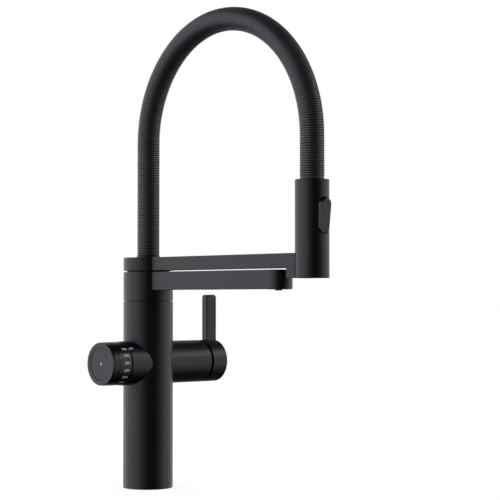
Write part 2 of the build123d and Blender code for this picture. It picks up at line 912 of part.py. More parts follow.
# Dial ring: number band, fine groove, smooth band and a bevelled front edge
dial_profile = Plane(origin=(0, 0, barrel_z), x_dir=(-1, 0, 0), z_dir=(0, 1, 0))
with BuildPart() as dial_ring:
    with BuildSketch(dial_profile):
        with BuildLine():
            Polyline(
                (dial_x, dial_r - dial_wall),
                (dial_x, dial_r),
                (dial_end - dial_edge_len, dial_r),
                (dial_end, dial_r - dial_edge_drop),
                (dial_end, face_r),
                (lip_x, face_r),
                (lip_x, dial_r - dial_wall),
                close=True,
            )
        make_face()
    revolve(axis=barrel_axis)
    with BuildSketch(outward(band_end)):
        Circle(dial_r + fit)
        Circle(dial_r - band_groove_depth, mode=Mode.SUBTRACT)
    extrude(amount=band_groove, mode=Mode.SUBTRACT)
save(dial_ring, "dial_ring")

# Push face: a shallow cup behind the dial ring's lip, with a plunger that reaches the
# switch and a hole for its light
spring_end = face_end - face_skin
with BuildPart() as dial_face:
    with BuildSketch(outward(face_x)):
        Circle(face_r + face_flange)
    extrude(amount=flange_end - face_x)
    with BuildSketch(outward(face_x)):
        Circle(face_r - 2 * fit)
    extrude(amount=face_h)
    with BuildSketch(outward(face_x)):
        Circle(face_r - 2 * fit - face_skin)
    extrude(amount=face_h - face_skin, mode=Mode.SUBTRACT)
    with BuildSketch(outward(journal_plate_x)):
        Circle(plunger_r)
    extrude(amount=spring_end - journal_plate_x)
    with BuildSketch(outward(face_end)):
        Circle(dot_r + fit)
    extrude(amount=-dot_depth, mode=Mode.SUBTRACT)
save(dial_face, "dial_face")

with BuildPart() as face_light:
    with BuildSketch(outward(face_end)):
        Circle(dot_r)
    extrude(amount=-dot_depth)
save(face_light, "face_light")

# Spring that brings the push face back
spring_h = spring_end - journal_end - 2 * spring_wire_r - 2 * fit
spring_pitch = spring_h / spring_turns
with BuildPart() as face_spring:
    with BuildLine() as coil:
        Helix(
            pitch=spring_pitch,
            height=spring_h,
            radius=spring_r,
            center=(-(journal_end + spring_wire_r + fit), 0, barrel_z),
            direction=(-1, 0, 0),
        )
    with BuildSketch(Plane(origin=coil.line @ 0, z_dir=coil.line % 0)):
        Circle(spring_wire_r)
    sweep()
save(face_spring, "face_spring")
turn_steps = 24
coil_points = [coil.line @ (i / (turn_steps * spring_turns)) for i in range(turn_steps * spring_turns + 1)]
coil_gap = min(
    (coil_points[i] - coil_points[j]).length - 2 * spring_wire_r
    for i in range(len(coil_points))
    for j in range(i + turn_steps // 2, len(coil_points))
)
print("least gap between the spring's turns", round(coil_gap, 2))

# Lower head and the filtered-water arm, hollow from below
cavity_y = column_r + head_block
cavity_end = spout_reach - outlet_r - tip_web
water_ring_r = spigot_r + running + water_ring_w
with BuildPart() as spout_arm:
    with BuildSketch(level(head_z)):
        Circle(column_r)
    extrude(amount=head_h)
    with BuildSketch(level(spout_z)):
        with Locations((0, -spout_reach / 2)):
            Rectangle(2 * arm_half, spout_reach)
        with Locations((0, -spout_reach)):
            Circle(arm_half)
    extrude(amount=spout_arm_h)
    under_edges = spout_arm.edges().filter_by_position(Axis.Z, spout_z - fit, spout_z + fit)
    chamfer(under_edges.sort_by(Axis.Y)[:3], arm_edge)
    with BuildSketch(level(head_z)):
        Circle(spigot_r + running)
    extrude(amount=head_h, mode=Mode.SUBTRACT)
    with BuildSketch(level(spout_tube_z - water_ring_h / 2)):
        Circle(water_ring_r)
    extrude(amount=water_ring_h, mode=Mode.SUBTRACT)
    with BuildSketch(level(spout_z)):
        with Locations((0, -(cavity_y + cavity_end) / 2)):
            Rectangle(2 * cavity_half, cavity_end - cavity_y)
    extrude(amount=spout_arm_h - arm_wall, mode=Mode.SUBTRACT)
    with BuildSketch(level(spout_z)):
        with Locations((0, -(cavity_y + cavity_end) / 2)):
            Rectangle(2 * cover_half, cavity_end - cavity_y + 2 * cover_ledge)
    extrude(amount=cover_h, mode=Mode.SUBTRACT)
    with BuildSketch(upright(-spigot_r)):
        with Locations((0, spout_tube_z)):
            Circle(spout_tube_r + fit)
    extrude(amount=spout_reach - spigot_r, mode=Mode.SUBTRACT)
    with BuildSketch(level(spout_z)):
        with Locations((0, -spout_reach)):
            Circle(outlet_r + fit)
    extrude(amount=outlet_disc, mode=Mode.SUBTRACT)
    with BuildSketch(level(spout_z)):
        with Locations((0, -spout_reach)):
            Circle(outlet_body_r + fit)
    extrude(amount=outlet_top - spout_z, mode=Mode.SUBTRACT)
save(spout_arm, "spout_arm")

with BuildPart() as spout_cover:
    with BuildSketch(level(spout_z)):
        with Locations((0, -(cavity_y + cavity_end) / 2)):
            Rectangle(2 * (cover_half - fit), cavity_end - cavity_y + 2 * (cover_ledge - fit))
    extrude(amount=cover_h)
save(spout_cover, "spout_cover")

# Tube that carries the filtered water along the arm
with BuildPart() as spout_tube:
    with BuildSketch(upright(-water_ring_r)):
        with Locations((0, spout_tube_z)):
            Circle(spout_tube_r)
            Circle(spout_tube_r - spout_tube_wall, mode=Mode.SUBTRACT)
    extrude(amount=spout_reach - outlet_body_r - 2 * fit - water_ring_r)
save(spout_tube, "spout_tube")

# Outlet insert in the arm's tip, and the small nozzle in it
spout_water_r = spout_tube_r - spout_tube_wall
nozzle_top = spout_z - nozzle_proud + nozzle_h
with BuildPart() as outlet_insert:
    with BuildSketch(level(spout_z - outlet_proud)):
        with Locations((0, -spout_reach)):
            Circle(outlet_r)
    extrude(amount=outlet_disc + outlet_proud)
    with BuildSketch(level(spout_z)):
        with Locations((0, -spout_reach)):
            Circle(outlet_body_r)
    extrude(amount=outlet_top - spout_z)
    with BuildSketch(upright(-spout_reach)):
        with Locations((0, spout_tube_z)):
            Circle(spout_water_r)
    extrude(amount=-outlet_body_r, mode=Mode.SUBTRACT)
    with BuildSketch(level(nozzle_top)):
        with Locations((0, -spout_reach)):
            Circle(spout_water_r)
    extrude(amount=spout_tube_z - nozzle_top, mode=Mode.SUBTRACT)
    with BuildSketch(level(nozzle_top)):
        with Locations((0, -spout_reach)):
            Circle(nozzle_r + fit)
    extrude(amount=-nozzle_h, mode=Mode.SUBTRACT)
save(outlet_insert, "outlet_insert")

with BuildPart() as outlet_nozzle:
    with BuildSketch(level(nozzle_top)):
        with Locations((0, -spout_reach)):
            Circle(nozzle_r)
            Circle(nozzle_hole_r, mode=Mode.SUBTRACT)
            with PolarLocations(nozzle_r / 2, nozzle_holes):
                Circle(nozzle_hole_r, mode=Mode.SUBTRACT)
    extrude(amount=-nozzle_h)
save(outlet_nozzle, "outlet_nozzle")

# Upper ring and the holder arm, hollow from below, ending in a curve round the spray
counterbore_r = nut_r + slip
holder_end = spray_reach - dock_r - holder_block
dock_screw_x = magnet_w / 2 + dock_screw_gap
dock_screw_y = dock_back + dock_screw_inset
dock_screw_spots = ((-dock_screw_x, -dock_screw_y), (dock_screw_x, -dock_screw_y))
screw_z = spray_z + screw_sink + screw_head_h
with BuildPart() as holder_arm:
    with BuildSketch(level(ring_z)):
        Circle(column_r)
        with Locations((0, -spray_reach / 2)):
            Rectangle(2 * arm_half, spray_reach)
        with Locations((0, -spray_reach)):
            Circle(dock_r, mode=Mode.SUBTRACT)
    extrude(amount=ring_h)
    under_edges = holder_arm.edges().group_by(Axis.Z)[0]
    chamfer(under_edges.filter_by(Axis.Y), arm_edge)
    with BuildSketch(level(ring_z)):
        Circle(upper_journal_r + running)
    extrude(amount=ring_h, mode=Mode.SUBTRACT)
    with BuildSketch(level(counterbore_z)):
        Circle(counterbore_r)
    extrude(amount=ring_top - counterbore_z, mode=Mode.SUBTRACT)
    with BuildSketch(level(ring_z)):
        with Locations((0, -(cavity_y + holder_end) / 2)):
            Rectangle(2 * cavity_half, holder_end - cavity_y)
    extrude(amount=ring_h - holder_roof, mode=Mode.SUBTRACT)
    with BuildSketch(level(ring_z)):
        with Locations((0, -(cavity_y + holder_end) / 2)):
            Rectangle(2 * cover_half, holder_end - cavity_y + 2 * cover_ledge)
    extrude(amount=cover_h, mode=Mode.SUBTRACT)
    with BuildSketch(level(ring_z)):
        with Locations(*dock_screw_spots):
            Circle(dock_screw_r + fit)
    extrude(amount=screw_z + dock_screw_len - ring_z, mode=Mode.SUBTRACT)
save(holder_arm, "holder_arm")

with BuildPart() as holder_cover:
    with BuildSketch(level(ring_z)):
        with Locations((0, -(cavity_y + holder_end) / 2)):
            Rectangle(2 * (cover_half - fit), holder_end - cavity_y + 2 * (cover_ledge - fit))
    extrude(amount=cover_h)
save(holder_cover, "holder_cover")

# Dock block under the holder arm's end, with a pocket for the magnet
with BuildPart() as dock_block:
    with BuildSketch(level(spray_z)):
        with Locations((0, -(dock_back + spray_reach) / 2)):
            Rectangle(2 * arm_half, spray_reach - dock_back)
        with Locations((0, -spray_reach)):
            Circle(dock_r, mode=Mode.SUBTRACT)
    extrude(amount=dock_drop)
    with BuildSketch(level(ring_z)):
        with Locations((0, -magnet_face + magnet_t / 2)):
            Rectangle(magnet_w + 2 * fit, magnet_t + 2 * fit)
    extrude(amount=-(dock_drop - magnet_floor), mode=Mode.SUBTRACT)
    with BuildSketch(level(spray_z)):
        with Locations(*dock_screw_spots):
            Circle(dock_screw_r + fit)
    extrude(amount=dock_drop, mode=Mode.SUBTRACT)
    with BuildSketch(level(spray_z)):
        with Locations(*dock_screw_spots):
            Circle(screw_head_r + fit)
    extrude(amount=screw_sink + screw_head_h, mode=Mode.SUBTRACT)
save(dock_block, "dock_block")

with BuildPart() as dock_magnet:
    with BuildSketch(level(ring_z)):
        with Locations((0, -magnet_face + magnet_t / 2)):
            Rectangle(magnet_w, magnet_t)
    extrude(amount=-(dock_drop - magnet_floor))
save(dock_magnet, "dock_magnet")

with BuildPart() as dock_screws:
    with BuildSketch(level(screw_z)):
        with Locations(*dock_screw_spots):
            Circle(dock_screw_r)
    extrude(amount=dock_screw_len)
    with BuildSketch(level(screw_z)):
        with Locations(*dock_screw_spots):
            Circle(screw_head_r)
    extrude(amount=-screw_head_h)
    with BuildSketch(level(screw_z - screw_head_h)):
        with Locations(*dock_screw_spots):
            RegularPolygon(screw_socket_r, 6)
    extrude(amount=screw_socket_r, mode=Mode.SUBTRACT)
save(dock_screws, "dock_screws")

# Ferrule at the hose's foot, seated in the upper ring: its stem turns in the spigot's
# bore and its barb holds the water hose
barb_r = water_hose_bore - running
with BuildPart() as hose_ferrule:
    with BuildSketch(level(ferrule_z)):
        Circle(spigot_bore - running)
    extrude(amount=-nipple_stem_h)
    with BuildSketch(level(ferrule_z)):
        Circle(counterbore_r - fit)
    extrude(amount=ferrule_seat)
    with BuildSketch(level(ring_top)):
        Circle(ferrule_r)
    extrude(amount=ferrule_h)
    with BuildSketch(level(ferrule_top)):
        Circle(barb_r)
    extrude(amount=barb_h)
    with BuildSketch(level(ferrule_z - nipple_stem_h)):
        Circle(nipple_bore)
    extrude(amount=nipple_stem_h + ferrule_seat + ferrule_h + barb_h, mode=Mode.SUBTRACT)
save(hose_ferrule, "hose_ferrule")

# The arch is two quarter turns, in degrees
quarter_turn = 90


def arch_route(bottom):
    """The hose's route from a height over the column, up and over the arch.

    It is a straight run and two quarter turns, and ends above the hand spray.
    """
    with BuildLine(Plane.YZ) as route:
        rise = Line((0, bottom), (0, arch_z))
        back = JernArc(rise @ 1, tangent=(0, 1), radius=arch_back_r, arc_size=quarter_turn)
        JernArc(back @ 1, tangent=(-1, 0), radius=arch_front_r, arc_size=quarter_turn)
    return route.wire()


def leg_route(bottom):
    """The straight end of the hose's route, downwards to a height over the spray."""
    with BuildLine(Plane.YZ) as route:
        Line((-spray_reach, arch_front_z), (-spray_reach, bottom))
    return route.wire()


# Where a rib's four circles stand, as shares of the pitch, and how deep each is
rib_shape = ((0.14, rib_depth), (0.36, 0), (0.64, 0), (0.86, rib_depth))


def ribbed_hose(name, route):
    """Write a ribbed hose with a plain bore along a route."""
    count = int(route.length / rib_pitch)
    stations = [(0, rib_depth)]
    for rib in range(count):
        stations += [((rib + share) / count, depth) for share, depth in rib_shape]
    stations.append((1, rib_depth))
    with BuildPart() as hose:
        for share, depth in stations:
            with BuildSketch(Plane(origin=route @ share, x_dir=(1, 0, 0), z_dir=route % share)):
                Circle(hose_r - depth)
        loft(ruled=True)
        with BuildSketch(Plane(origin=route @ 0, x_dir=(1, 0, 0), z_dir=route % 0)):
            Circle(sleeve_bore)
        sweep(path=route, mode=Mode.SUBTRACT)
    print(name, "ribs", count)
    save(hose, name)


def water_tube(name, route):
    """Write a stretch of the water hose along a route."""
    with BuildPart() as hose:
        with BuildSketch(Plane(origin=route @ 0, x_dir=(1, 0, 0), z_dir=route % 0)):
            Circle(water_hose_r)
            Circle(water_hose_bore, mode=Mode.SUBTRACT)
        sweep(path=route)
    save(hose, name)


# The hose over the arch, and its straight end that bends when the spray is pulled off
ribbed_hose("hose_sleeve", arch_route(ferrule_top))
ribbed_hose("hose_sleeve_end", leg_route(collar_top))
water_tube("water_hose", arch_route(ferrule_top))
water_tube("water_hose_end", leg_route(spray_top))

# Collar between the hose and the hand spray
with BuildPart() as hose_collar:
    with BuildSketch(spray_level(spray_top)):
        Circle(collar_r)
        Circle(water_hose_r + fit, mode=Mode.SUBTRACT)
    extrude(amount=collar_h)
save(hose_collar, "hose_collar")

# Hand spray's shell, with the opening for the rocker button
shell_roof = spray_top - spray_top_wall
button_plane = Plane(origin=(0, -spray_reach, rocker_level), x_dir=(1, 0, 0), z_dir=(0, -1, 0))
pivot_plane = Plane(
    origin=(0, -spray_reach - rocker_pivot, rocker_level), x_dir=(0, 1, 0), z_dir=(1, 0, 0)
)
with BuildPart() as spray_shell:
    with BuildSketch(spray_level(spray_z)):
        Circle(spray_r)
    extrude(amount=spray_h)
    fillet(spray_shell.edges().group_by(Axis.Z)[-1], spray_edge)
    with BuildSketch(spray_level(spray_z)):
        Circle(spray_bore_r)
    extrude(amount=shell_roof - spray_z, mode=Mode.SUBTRACT)
    with BuildSketch(spray_level(shell_roof)):
        Circle(connector_r + fit)
    extrude(amount=spray_top_wall, mode=Mode.SUBTRACT)
    with BuildSketch(button_plane):
        SlotOverall(2 * opening_half_h, 2 * opening_half_w, rotation=90)
    extrude(amount=spray_r + fit, mode=Mode.SUBTRACT)
save(spray_shell, "spray_shell")

# Connector: a flange under the shell's top, a barb in the water hose
with BuildPart() as hose_connector:
    with BuildSketch(spray_level(connector_z)):
        Circle(connector_r)
    extrude(amount=connector_h)
    with BuildSketch(spray_level(shell_roof)):
        Circle(spray_fill_r)
    extrude(amount=-connector_flange)
    with BuildSketch(spray_level(spray_top)):
        Circle(barb_r)
    extrude(amount=barb_h)
    with BuildSketch(spray_level(connector_z)):
        Circle(nipple_bore)
    extrude(amount=connector_h + barb_h, mode=Mode.SUBTRACT)
    with BuildSketch(spray_level(connector_z)):
        Circle(connector_bore)
    extrude(amount=check_h, mode=Mode.SUBTRACT)
save(hose_connector, "hose_connector")

with BuildPart() as check_valve:
    with BuildSketch(spray_level(connector_z)):
        Circle(connector_bore - fit)
        Circle(connector_bore / 2, mode=Mode.SUBTRACT)
    extrude(amount=check_h)
save(check_valve, "check_valve")

# Diverter body: a pocket for the rocker, a bore for the spool and ways for the water
spool_z = rocker_level + spool_rise
with BuildPart() as diverter_body:
    with BuildSketch(spray_level(diverter_z)):
        Circle(spray_fill_r)
        Circle(connector_bore, mode=Mode.SUBTRACT)
        with Locations((side_passage_at, 0), (-side_passage_at, 0), (0, side_passage_at)):
            Circle(spool_r, mode=Mode.SUBTRACT)
    extrude(amount=connector_z - diverter_z)
    with BuildSketch(button_plane.offset(pocket_floor)):
        SlotOverall(2 * opening_half_h, 2 * opening_half_w, rotation=90)
    extrude(amount=spray_r, mode=Mode.SUBTRACT)
    with BuildSketch(pivot_plane):
        Circle(rocker_pin_r + fit)
    extrude(amount=spray_r, both=True, mode=Mode.SUBTRACT)
    with BuildSketch(upright(-spray_reach - pocket_floor)):
        with Locations((0, spool_z)):
            Circle(spool_r + running)
    extrude(amount=-(pocket_floor + connector_bore + spool_travel), mode=Mode.SUBTRACT)
save(diverter_body, "diverter_body")

# Spool that the rocker pushes in
spool_face = spray_reach + rocker_inner - spool_gap
with BuildPart() as diverter_spool:
    with BuildSketch(upright(-spool_face)):
        with Locations((0, spool_z)):
            Circle(spool_r)
    extrude(amount=-spool_len)
save(diverter_spool, "diverter_spool")

# Rocker button: a pill with bevelled sides and a flat face that leans out at the top
lean = math.radians(rocker_tilt)
face_plane = Plane(
    origin=(0, -spray_reach - rocker_face, rocker_level),
    x_dir=(1, 0, 0),
    z_dir=(0, -math.cos(lean), -math.sin(lean)),
)
rocker_rise = rocker_face - spray_bore_r + rocker_half_h * math.tan(lean)
with BuildPart() as spray_button:
    with BuildSketch(button_plane.offset(rocker_inner)):
        SlotOverall(2 * rocker_half_h, 2 * rocker_half_w, rotation=90)
    extrude(amount=rocker_base)
    with BuildSketch(button_plane.offset(spray_bore_r)):
        SlotOverall(2 * rocker_half_h, 2 * rocker_half_w, rotation=90)
    extrude(amount=rocker_rise, taper=rocker_taper)
    split(bisect_by=face_plane, keep=Keep.BOTTOM)
    with BuildSketch(pivot_plane):
        Circle(rocker_hub_r)
        with Locations(((rocker_pivot - rocker_inner) / 2, 0)):
            Rectangle(rocker_inner - rocker_pivot, 2 * rocker_hub_r)
    extrude(amount=rocker_half_w - slip, both=True)
    with BuildSketch(pivot_plane):
        Circle(rocker_pin_r + running)
    extrude(amount=rocker_half_w, both=True, mode=Mode.SUBTRACT)
save(spray_button, "spray_button")

with BuildPart() as rocker_pin:
    with BuildSketch(pivot_plane):
        Circle(rocker_pin_r)
    extrude(amount=opening_half_w + rocker_pin_seat, both=True)
save(rocker_pin, "rocker_pin")

# Spray face: a plate with soft nozzles in two circles round the aerator
with BuildPart() as spray_face:
    with BuildSketch(spray_level(plate_level)):
        Circle(spray_fill_r)
        Circle(aerator_r + fit, mode=Mode.SUBTRACT)
        with PolarLocations(inner_nozzle_r, inner_nozzles):
            Circle(spray_nozzle_r + fit, mode=Mode.SUBTRACT)
        with PolarLocations(outer_nozzle_r, outer_nozzles):
            Circle(spray_nozzle_r + fit, mode=Mode.SUBTRACT)
    extrude(amount=face_plate_h)
save(spray_face, "spray_face")

with BuildPart() as spray_nozzles:
    with BuildSketch(spray_level(spray_z)):
        with PolarLocations(inner_nozzle_r, inner_nozzles):
            Circle(spray_nozzle_r)
            Circle(spray_nozzle_r / 2, mode=Mode.SUBTRACT)
        with PolarLocations(outer_nozzle_r, outer_nozzles):
            Circle(spray_nozzle_r)
            Circle(spray_nozzle_r / 2, mode=Mode.SUBTRACT)
    extrude(amount=spray_nozzle_h)
save(spray_nozzles, "spray_nozzles")

with BuildPart() as aerator:
    with BuildSketch(spray_level(plate_level)):
        Circle(aerator_r)
        Circle(aerator_hole_r / 2, mode=Mode.SUBTRACT)
        with PolarLocations(aerator_r / 2, aerator_holes):
            Circle(aerator_hole_r, mode=Mode.SUBTRACT)
    extrude(amount=aerator_h)
save(aerator, "aerator")

# Steel keeper inside the spray, drawn by the dock's magnet
keeper_z = plate_level + face_plate_h + fit
with BuildPart() as magnet_keeper:
    with BuildSketch(spray_level(keeper_z)):
        Circle(spray_fill_r)
        Circle(spray_fill_r - keeper_t, mode=Mode.SUBTRACT)
        with Locations((0, spray_fill_r)):
            Rectangle(keeper_w, spray_fill_r, mode=Mode.INTERSECT)
    extrude(amount=diverter_z - fit - keeper_z)
save(magnet_keeper, "magnet_keeper")
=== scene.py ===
"""A kitchen tap for mixed and filtered water, dressed for a studio picture.

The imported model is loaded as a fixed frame. Its outer pieces are built anew, finer and
with rounded edges, and its inner pieces keep their shapes and get real finishes. All is
in metres: the column stands on the origin with +Z up, the arms reach towards -Y, the
dial faces -X and the lever stands on the +X side.
"""

import sys
import logging
import math
from collections.abc import Callable, Iterator
from contextlib import contextmanager
from dataclasses import dataclass, field
from enum import Enum
from typing import Self

import bmesh
import bpy
from mathutils import Matrix, Vector


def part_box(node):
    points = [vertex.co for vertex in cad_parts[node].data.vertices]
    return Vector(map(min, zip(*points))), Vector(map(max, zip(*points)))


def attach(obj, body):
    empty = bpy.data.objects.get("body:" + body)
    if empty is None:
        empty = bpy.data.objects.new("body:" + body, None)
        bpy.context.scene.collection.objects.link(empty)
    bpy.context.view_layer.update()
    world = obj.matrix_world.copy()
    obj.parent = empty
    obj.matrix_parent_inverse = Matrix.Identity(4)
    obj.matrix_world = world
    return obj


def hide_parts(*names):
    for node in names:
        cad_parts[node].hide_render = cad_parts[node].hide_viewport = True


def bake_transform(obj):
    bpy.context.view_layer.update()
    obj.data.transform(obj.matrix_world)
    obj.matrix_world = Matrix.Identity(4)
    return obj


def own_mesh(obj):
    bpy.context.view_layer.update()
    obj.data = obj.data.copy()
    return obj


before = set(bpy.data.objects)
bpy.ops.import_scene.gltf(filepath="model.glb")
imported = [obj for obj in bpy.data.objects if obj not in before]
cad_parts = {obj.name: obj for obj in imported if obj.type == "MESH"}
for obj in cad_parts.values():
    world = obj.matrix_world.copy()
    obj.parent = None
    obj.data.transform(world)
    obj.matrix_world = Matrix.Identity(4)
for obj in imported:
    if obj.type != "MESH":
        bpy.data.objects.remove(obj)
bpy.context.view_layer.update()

log = logging.getLogger("tap")

MM = 0.001
FIT = 0.1 * MM
RUNNING = 0.08 * MM
STEPS = 128
VALLEY_POWER = 5
WELD = 1e-6
ORIGIN = Vector().freeze()

Colour = tuple[float, float, float]
Pair = tuple[float, float]
Socket = bpy.types.NodeSocket


class Body(Enum):
    """The bodies of the frame that pieces ride on."""

    STAND = "stand"
    LEVER = "lever"
    DIAL = "dial"
    FACE = "face"
    SPOUT = "spout"
    HOLDER = "holder"
    SPRAY = "spray"
    ROCKER = "rocker"


class Slot(Enum):
    """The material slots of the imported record."""

    SATIN_BLACK = "satin_black"
    BRASS = "brass"
    STEEL = "steel"
    RUBBER = "rubber"
    HOSE_BLACK = "hose_black"
    INNER_PLASTIC = "inner_plastic"
    DARK_PLASTIC = "dark_plastic"
    CERAMIC = "ceramic"
    LENS = "lens"


class Axis(Enum):
    """The axis that a turned piece is made about."""

    UP = "up"
    ACROSS = "across"


# Node trees


class Graph:
    """A node tree while it is being built."""

    def __init__(self, tree: bpy.types.NodeTree) -> None:
        """Keep the tree that nodes are added to."""
        self.tree = tree

    def node(
        self, kind: str, settings: dict | None = None, inputs: dict | None = None
    ) -> bpy.types.Node:
        """Add a node.

        Args:
            kind: The node's type.
            settings: The node's own settings, set before its sockets.
            inputs: A number, socket or Value for each input, by name or place.

        Returns:
            The new node.
        """
        made = self.tree.nodes.new(kind)
        for key, value in (settings or {}).items():
            setattr(made, key, value)
        for key, value in (inputs or {}).items():
            self.fill(made.inputs[key], value)
        return made

    def value(
        self, kind: str, output: int | str, settings: dict | None = None, inputs: dict | None = None
    ) -> "Value":
        """Add a node as node() does and wrap one of its outputs."""
        return Value(self, self.node(kind, settings, inputs).outputs[output])

    def fill(self, socket: Socket, value: object) -> None:
        """Link a socket or Value to an input, or set the input's own value.

        Args:
            socket: The input.
            value: What it gets.
        """
        source = value.socket if isinstance(value, Value) else value
        if isinstance(source, Socket):
            self.tree.links.new(source, socket)
        else:
            socket.default_value = source

    def blend(self, factor: "Value", first: Colour, second: Colour) -> Socket:
        """A colour that goes from the first to the second with the factor.

        Args:
            factor: How far it has gone, from 0 to 1.
            first: The colour at 0.
            second: The colour at 1.

        Returns:
            The blended colour.
        """
        made = self.node("ShaderNodeMix", {"data_type": "RGBA"}, {0: factor})
        self.fill(made.inputs[6], (*first, 1.0))
        self.fill(made.inputs[7], (*second, 1.0))
        return made.outputs[2]


def operator(operation: str, swapped: bool = False) -> Callable:
    """A Value's method that adds a Math node on it and another, or on the two swapped.

    Args:
        operation: The Math node's operation.
        swapped: Whether the other comes first.

    Returns:
        The method.
    """

    def method(self: "Value", other: "Value | float") -> "Value":
        """Wrap the node's result."""
        return self.maths(operation, *((other, self) if swapped else (self, other)))

    return method


class Value:
    """A number that varies over a surface or along a path, open to Python's operators."""

    __add__ = operator("ADD")
    __radd__ = operator("ADD", swapped=True)
    __sub__ = operator("SUBTRACT")
    __rsub__ = operator("SUBTRACT", swapped=True)
    __mul__ = operator("MULTIPLY")
    __truediv__ = operator("DIVIDE")
    __pow__ = operator("POWER")

    def __init__(self, graph: Graph, socket: Socket) -> None:
        """Wrap a socket of a tree."""
        self.graph = graph
        self.socket = socket

    def maths(self, operation: str, *operands: "Value | float") -> "Value":
        """Add a Math node on the operands and wrap its result."""
        inputs = dict(enumerate(operands))
        return self.graph.value("ShaderNodeMath", 0, {"operation": operation}, inputs)

    def __abs__(self) -> "Value":
        """This without its sign."""
        return self.maths("ABSOLUTE", self)

    def fraction(self) -> "Value":
        """The part of this after the point."""
        return self.maths("FRACT", self)

    def angle_to(self, other: "Value") -> "Value":
        """The angle in radians whose sine goes with this and cosine with the other."""
        return self.maths("ARCTAN2", self, other)

    def ramp(self, start: float, end: float, low: float = 0.0, high: float = 1.0) -> "Value":
        """An eased run from low to high while this goes from start to end.

        Args:
            start: Where the result leaves low.
            end: Where it reaches high.
            low: The result before the start.
            high: The result past the end.

        Returns:
            The eased value.
        """
        return self.graph.value(
            "ShaderNodeMapRange",
            "Result",
            {"interpolation_type": "SMOOTHSTEP"},
            {"Value": self, "From Min": start, "From Max": end, "To Min": low, "To Max": high},
        )


class Shader(Graph):
    """A material's tree, with the textures and mixes that the finishes share."""

    def __init__(self, name: str) -> None:
        """Start an empty material with one surface shader.

        Args:
            name: The material's name.
        """
        self.material = bpy.data.materials.new(name)
        self.material.use_nodes = True
        super().__init__(self.material.node_tree)
        self.tree.nodes.clear()
        self.surface = self.node("ShaderNodeBsdfPrincipled")
        self.end = self.node(
            "ShaderNodeOutputMaterial", inputs={"Surface": self.surface.outputs["BSDF"]}
        )

    def place(self, stretch: Colour = (1.0, 1.0, 1.0)) -> Socket:
        """The object's own coordinates, stretched along its axes.

        Args:
            stretch: How many times finer a pattern gets along each axis.

        Returns:
            The coordinates.
        """
        where = self.node("ShaderNodeTexCoord")
        made = self.node(
            "ShaderNodeMapping", inputs={"Vector": where.outputs["Object"], "Scale": stretch}
        )
        return made.outputs["Vector"]

    def noise(self, size: float, detail: float = 2.0, stretch: Colour = (1.0, 1.0, 1.0)) -> Value:
        """Soft random patches of a size in metres, finer where they are stretched."""
        inputs = {"Vector": self.place(stretch), "Scale": 1 / size, "Detail": detail}
        return self.value("ShaderNodeTexNoise", "Fac", inputs=inputs)

    def cells(self, size: float) -> Value:
        """The distance from the nearest of many random points, one for each cell's size."""
        inputs = {"Vector": self.place(), "Scale": 1 / size}
        return self.value("ShaderNodeTexVoronoi", "Distance", inputs=inputs)

    def attribute(self, name: str) -> Value:
        """A number that is stored on the mesh."""
        return self.value("ShaderNodeAttribute", "Fac", {"attribute_name": name})

    def bump(self, height: Value, depth: float) -> Socket:
        """A normal for a height that runs from 0 to 1 over a depth in metres."""
        made = self.node("ShaderNodeBump", inputs={"Height": height, "Distance": depth})
        return made.outputs["Normal"]

    def veil(self, factor: Value) -> None:
        """Let the rays through that the factor names.

        Args:
            factor: Which rays pass: 1 for all of a kind, 0 for none.
        """
        clear = self.node("ShaderNodeBsdfTransparent")
        mixed = self.node(
            "ShaderNodeMixShader",
            inputs={0: factor, 1: self.surface.outputs["BSDF"], 2: clear.outputs[0]},
        )
        self.fill(self.end.inputs["Surface"], mixed.outputs[0])

    def set(self, **inputs: object) -> None:
        """Fill the surface shader's inputs, their words joined by underscores."""
        for key, value in inputs.items():
            self.fill(self.surface.inputs[key.replace("_", " ")], value)


def shade(colour: Colour, share: float) -> Colour:
    """A colour times a share, held under white."""
    return tuple(min(1.0, part * share) for part in colour)


# Finishes


@dataclass(frozen=True)
class Finish:
    """A colour and a gloss that are a little uneven, and the record's slot for them."""

    name: str
    slot: Slot
    colour: Colour
    roughness: float
    swing: float = 0.10
    patch_size: float = 1.2 * MM
    patch_detail: float = 2.0
    patch_along: Colour = (1.0, 1.0, 1.0)
    tones: Pair = (0.96, 1.0)
    relief: float = 0.002 * MM

    def material(self) -> bpy.types.Material:
        """The finish's material, made once."""
        found = bpy.data.materials.get(self.name)
        if found:
            return found
        shader = Shader(self.name)
        self.paint(shader)
        shader.material.diffuse_color = (*self.colour, 1.0)
        return shader.material

    def paint(self, shader: Shader) -> None:
        """Fill the shader; the kinds of finish that need more have their own way.

        Args:
            shader: The material's tree.
        """
        patch = shader.noise(self.patch_size, self.patch_detail, self.patch_along)
        shader.set(
            Base_Color=shader.blend(patch, *map(self.tone, self.tones)),
            Roughness=self.uneven(patch),
            Normal=self.normal(shader, patch),
        )

    def normal(self, shader: Shader, patch: Value) -> Socket:
        """The normal of the finish's relief, here that of its patches."""
        return shader.bump(patch, self.relief)

    def tone(self, share: float) -> Colour:
        """The finish's colour times a share."""
        return shade(self.colour, share)

    def uneven(self, pattern: Value) -> Value:
        """The roughness, swinging with a pattern that runs round a half."""
        return self.roughness + (pattern - 0.5) * self.swing


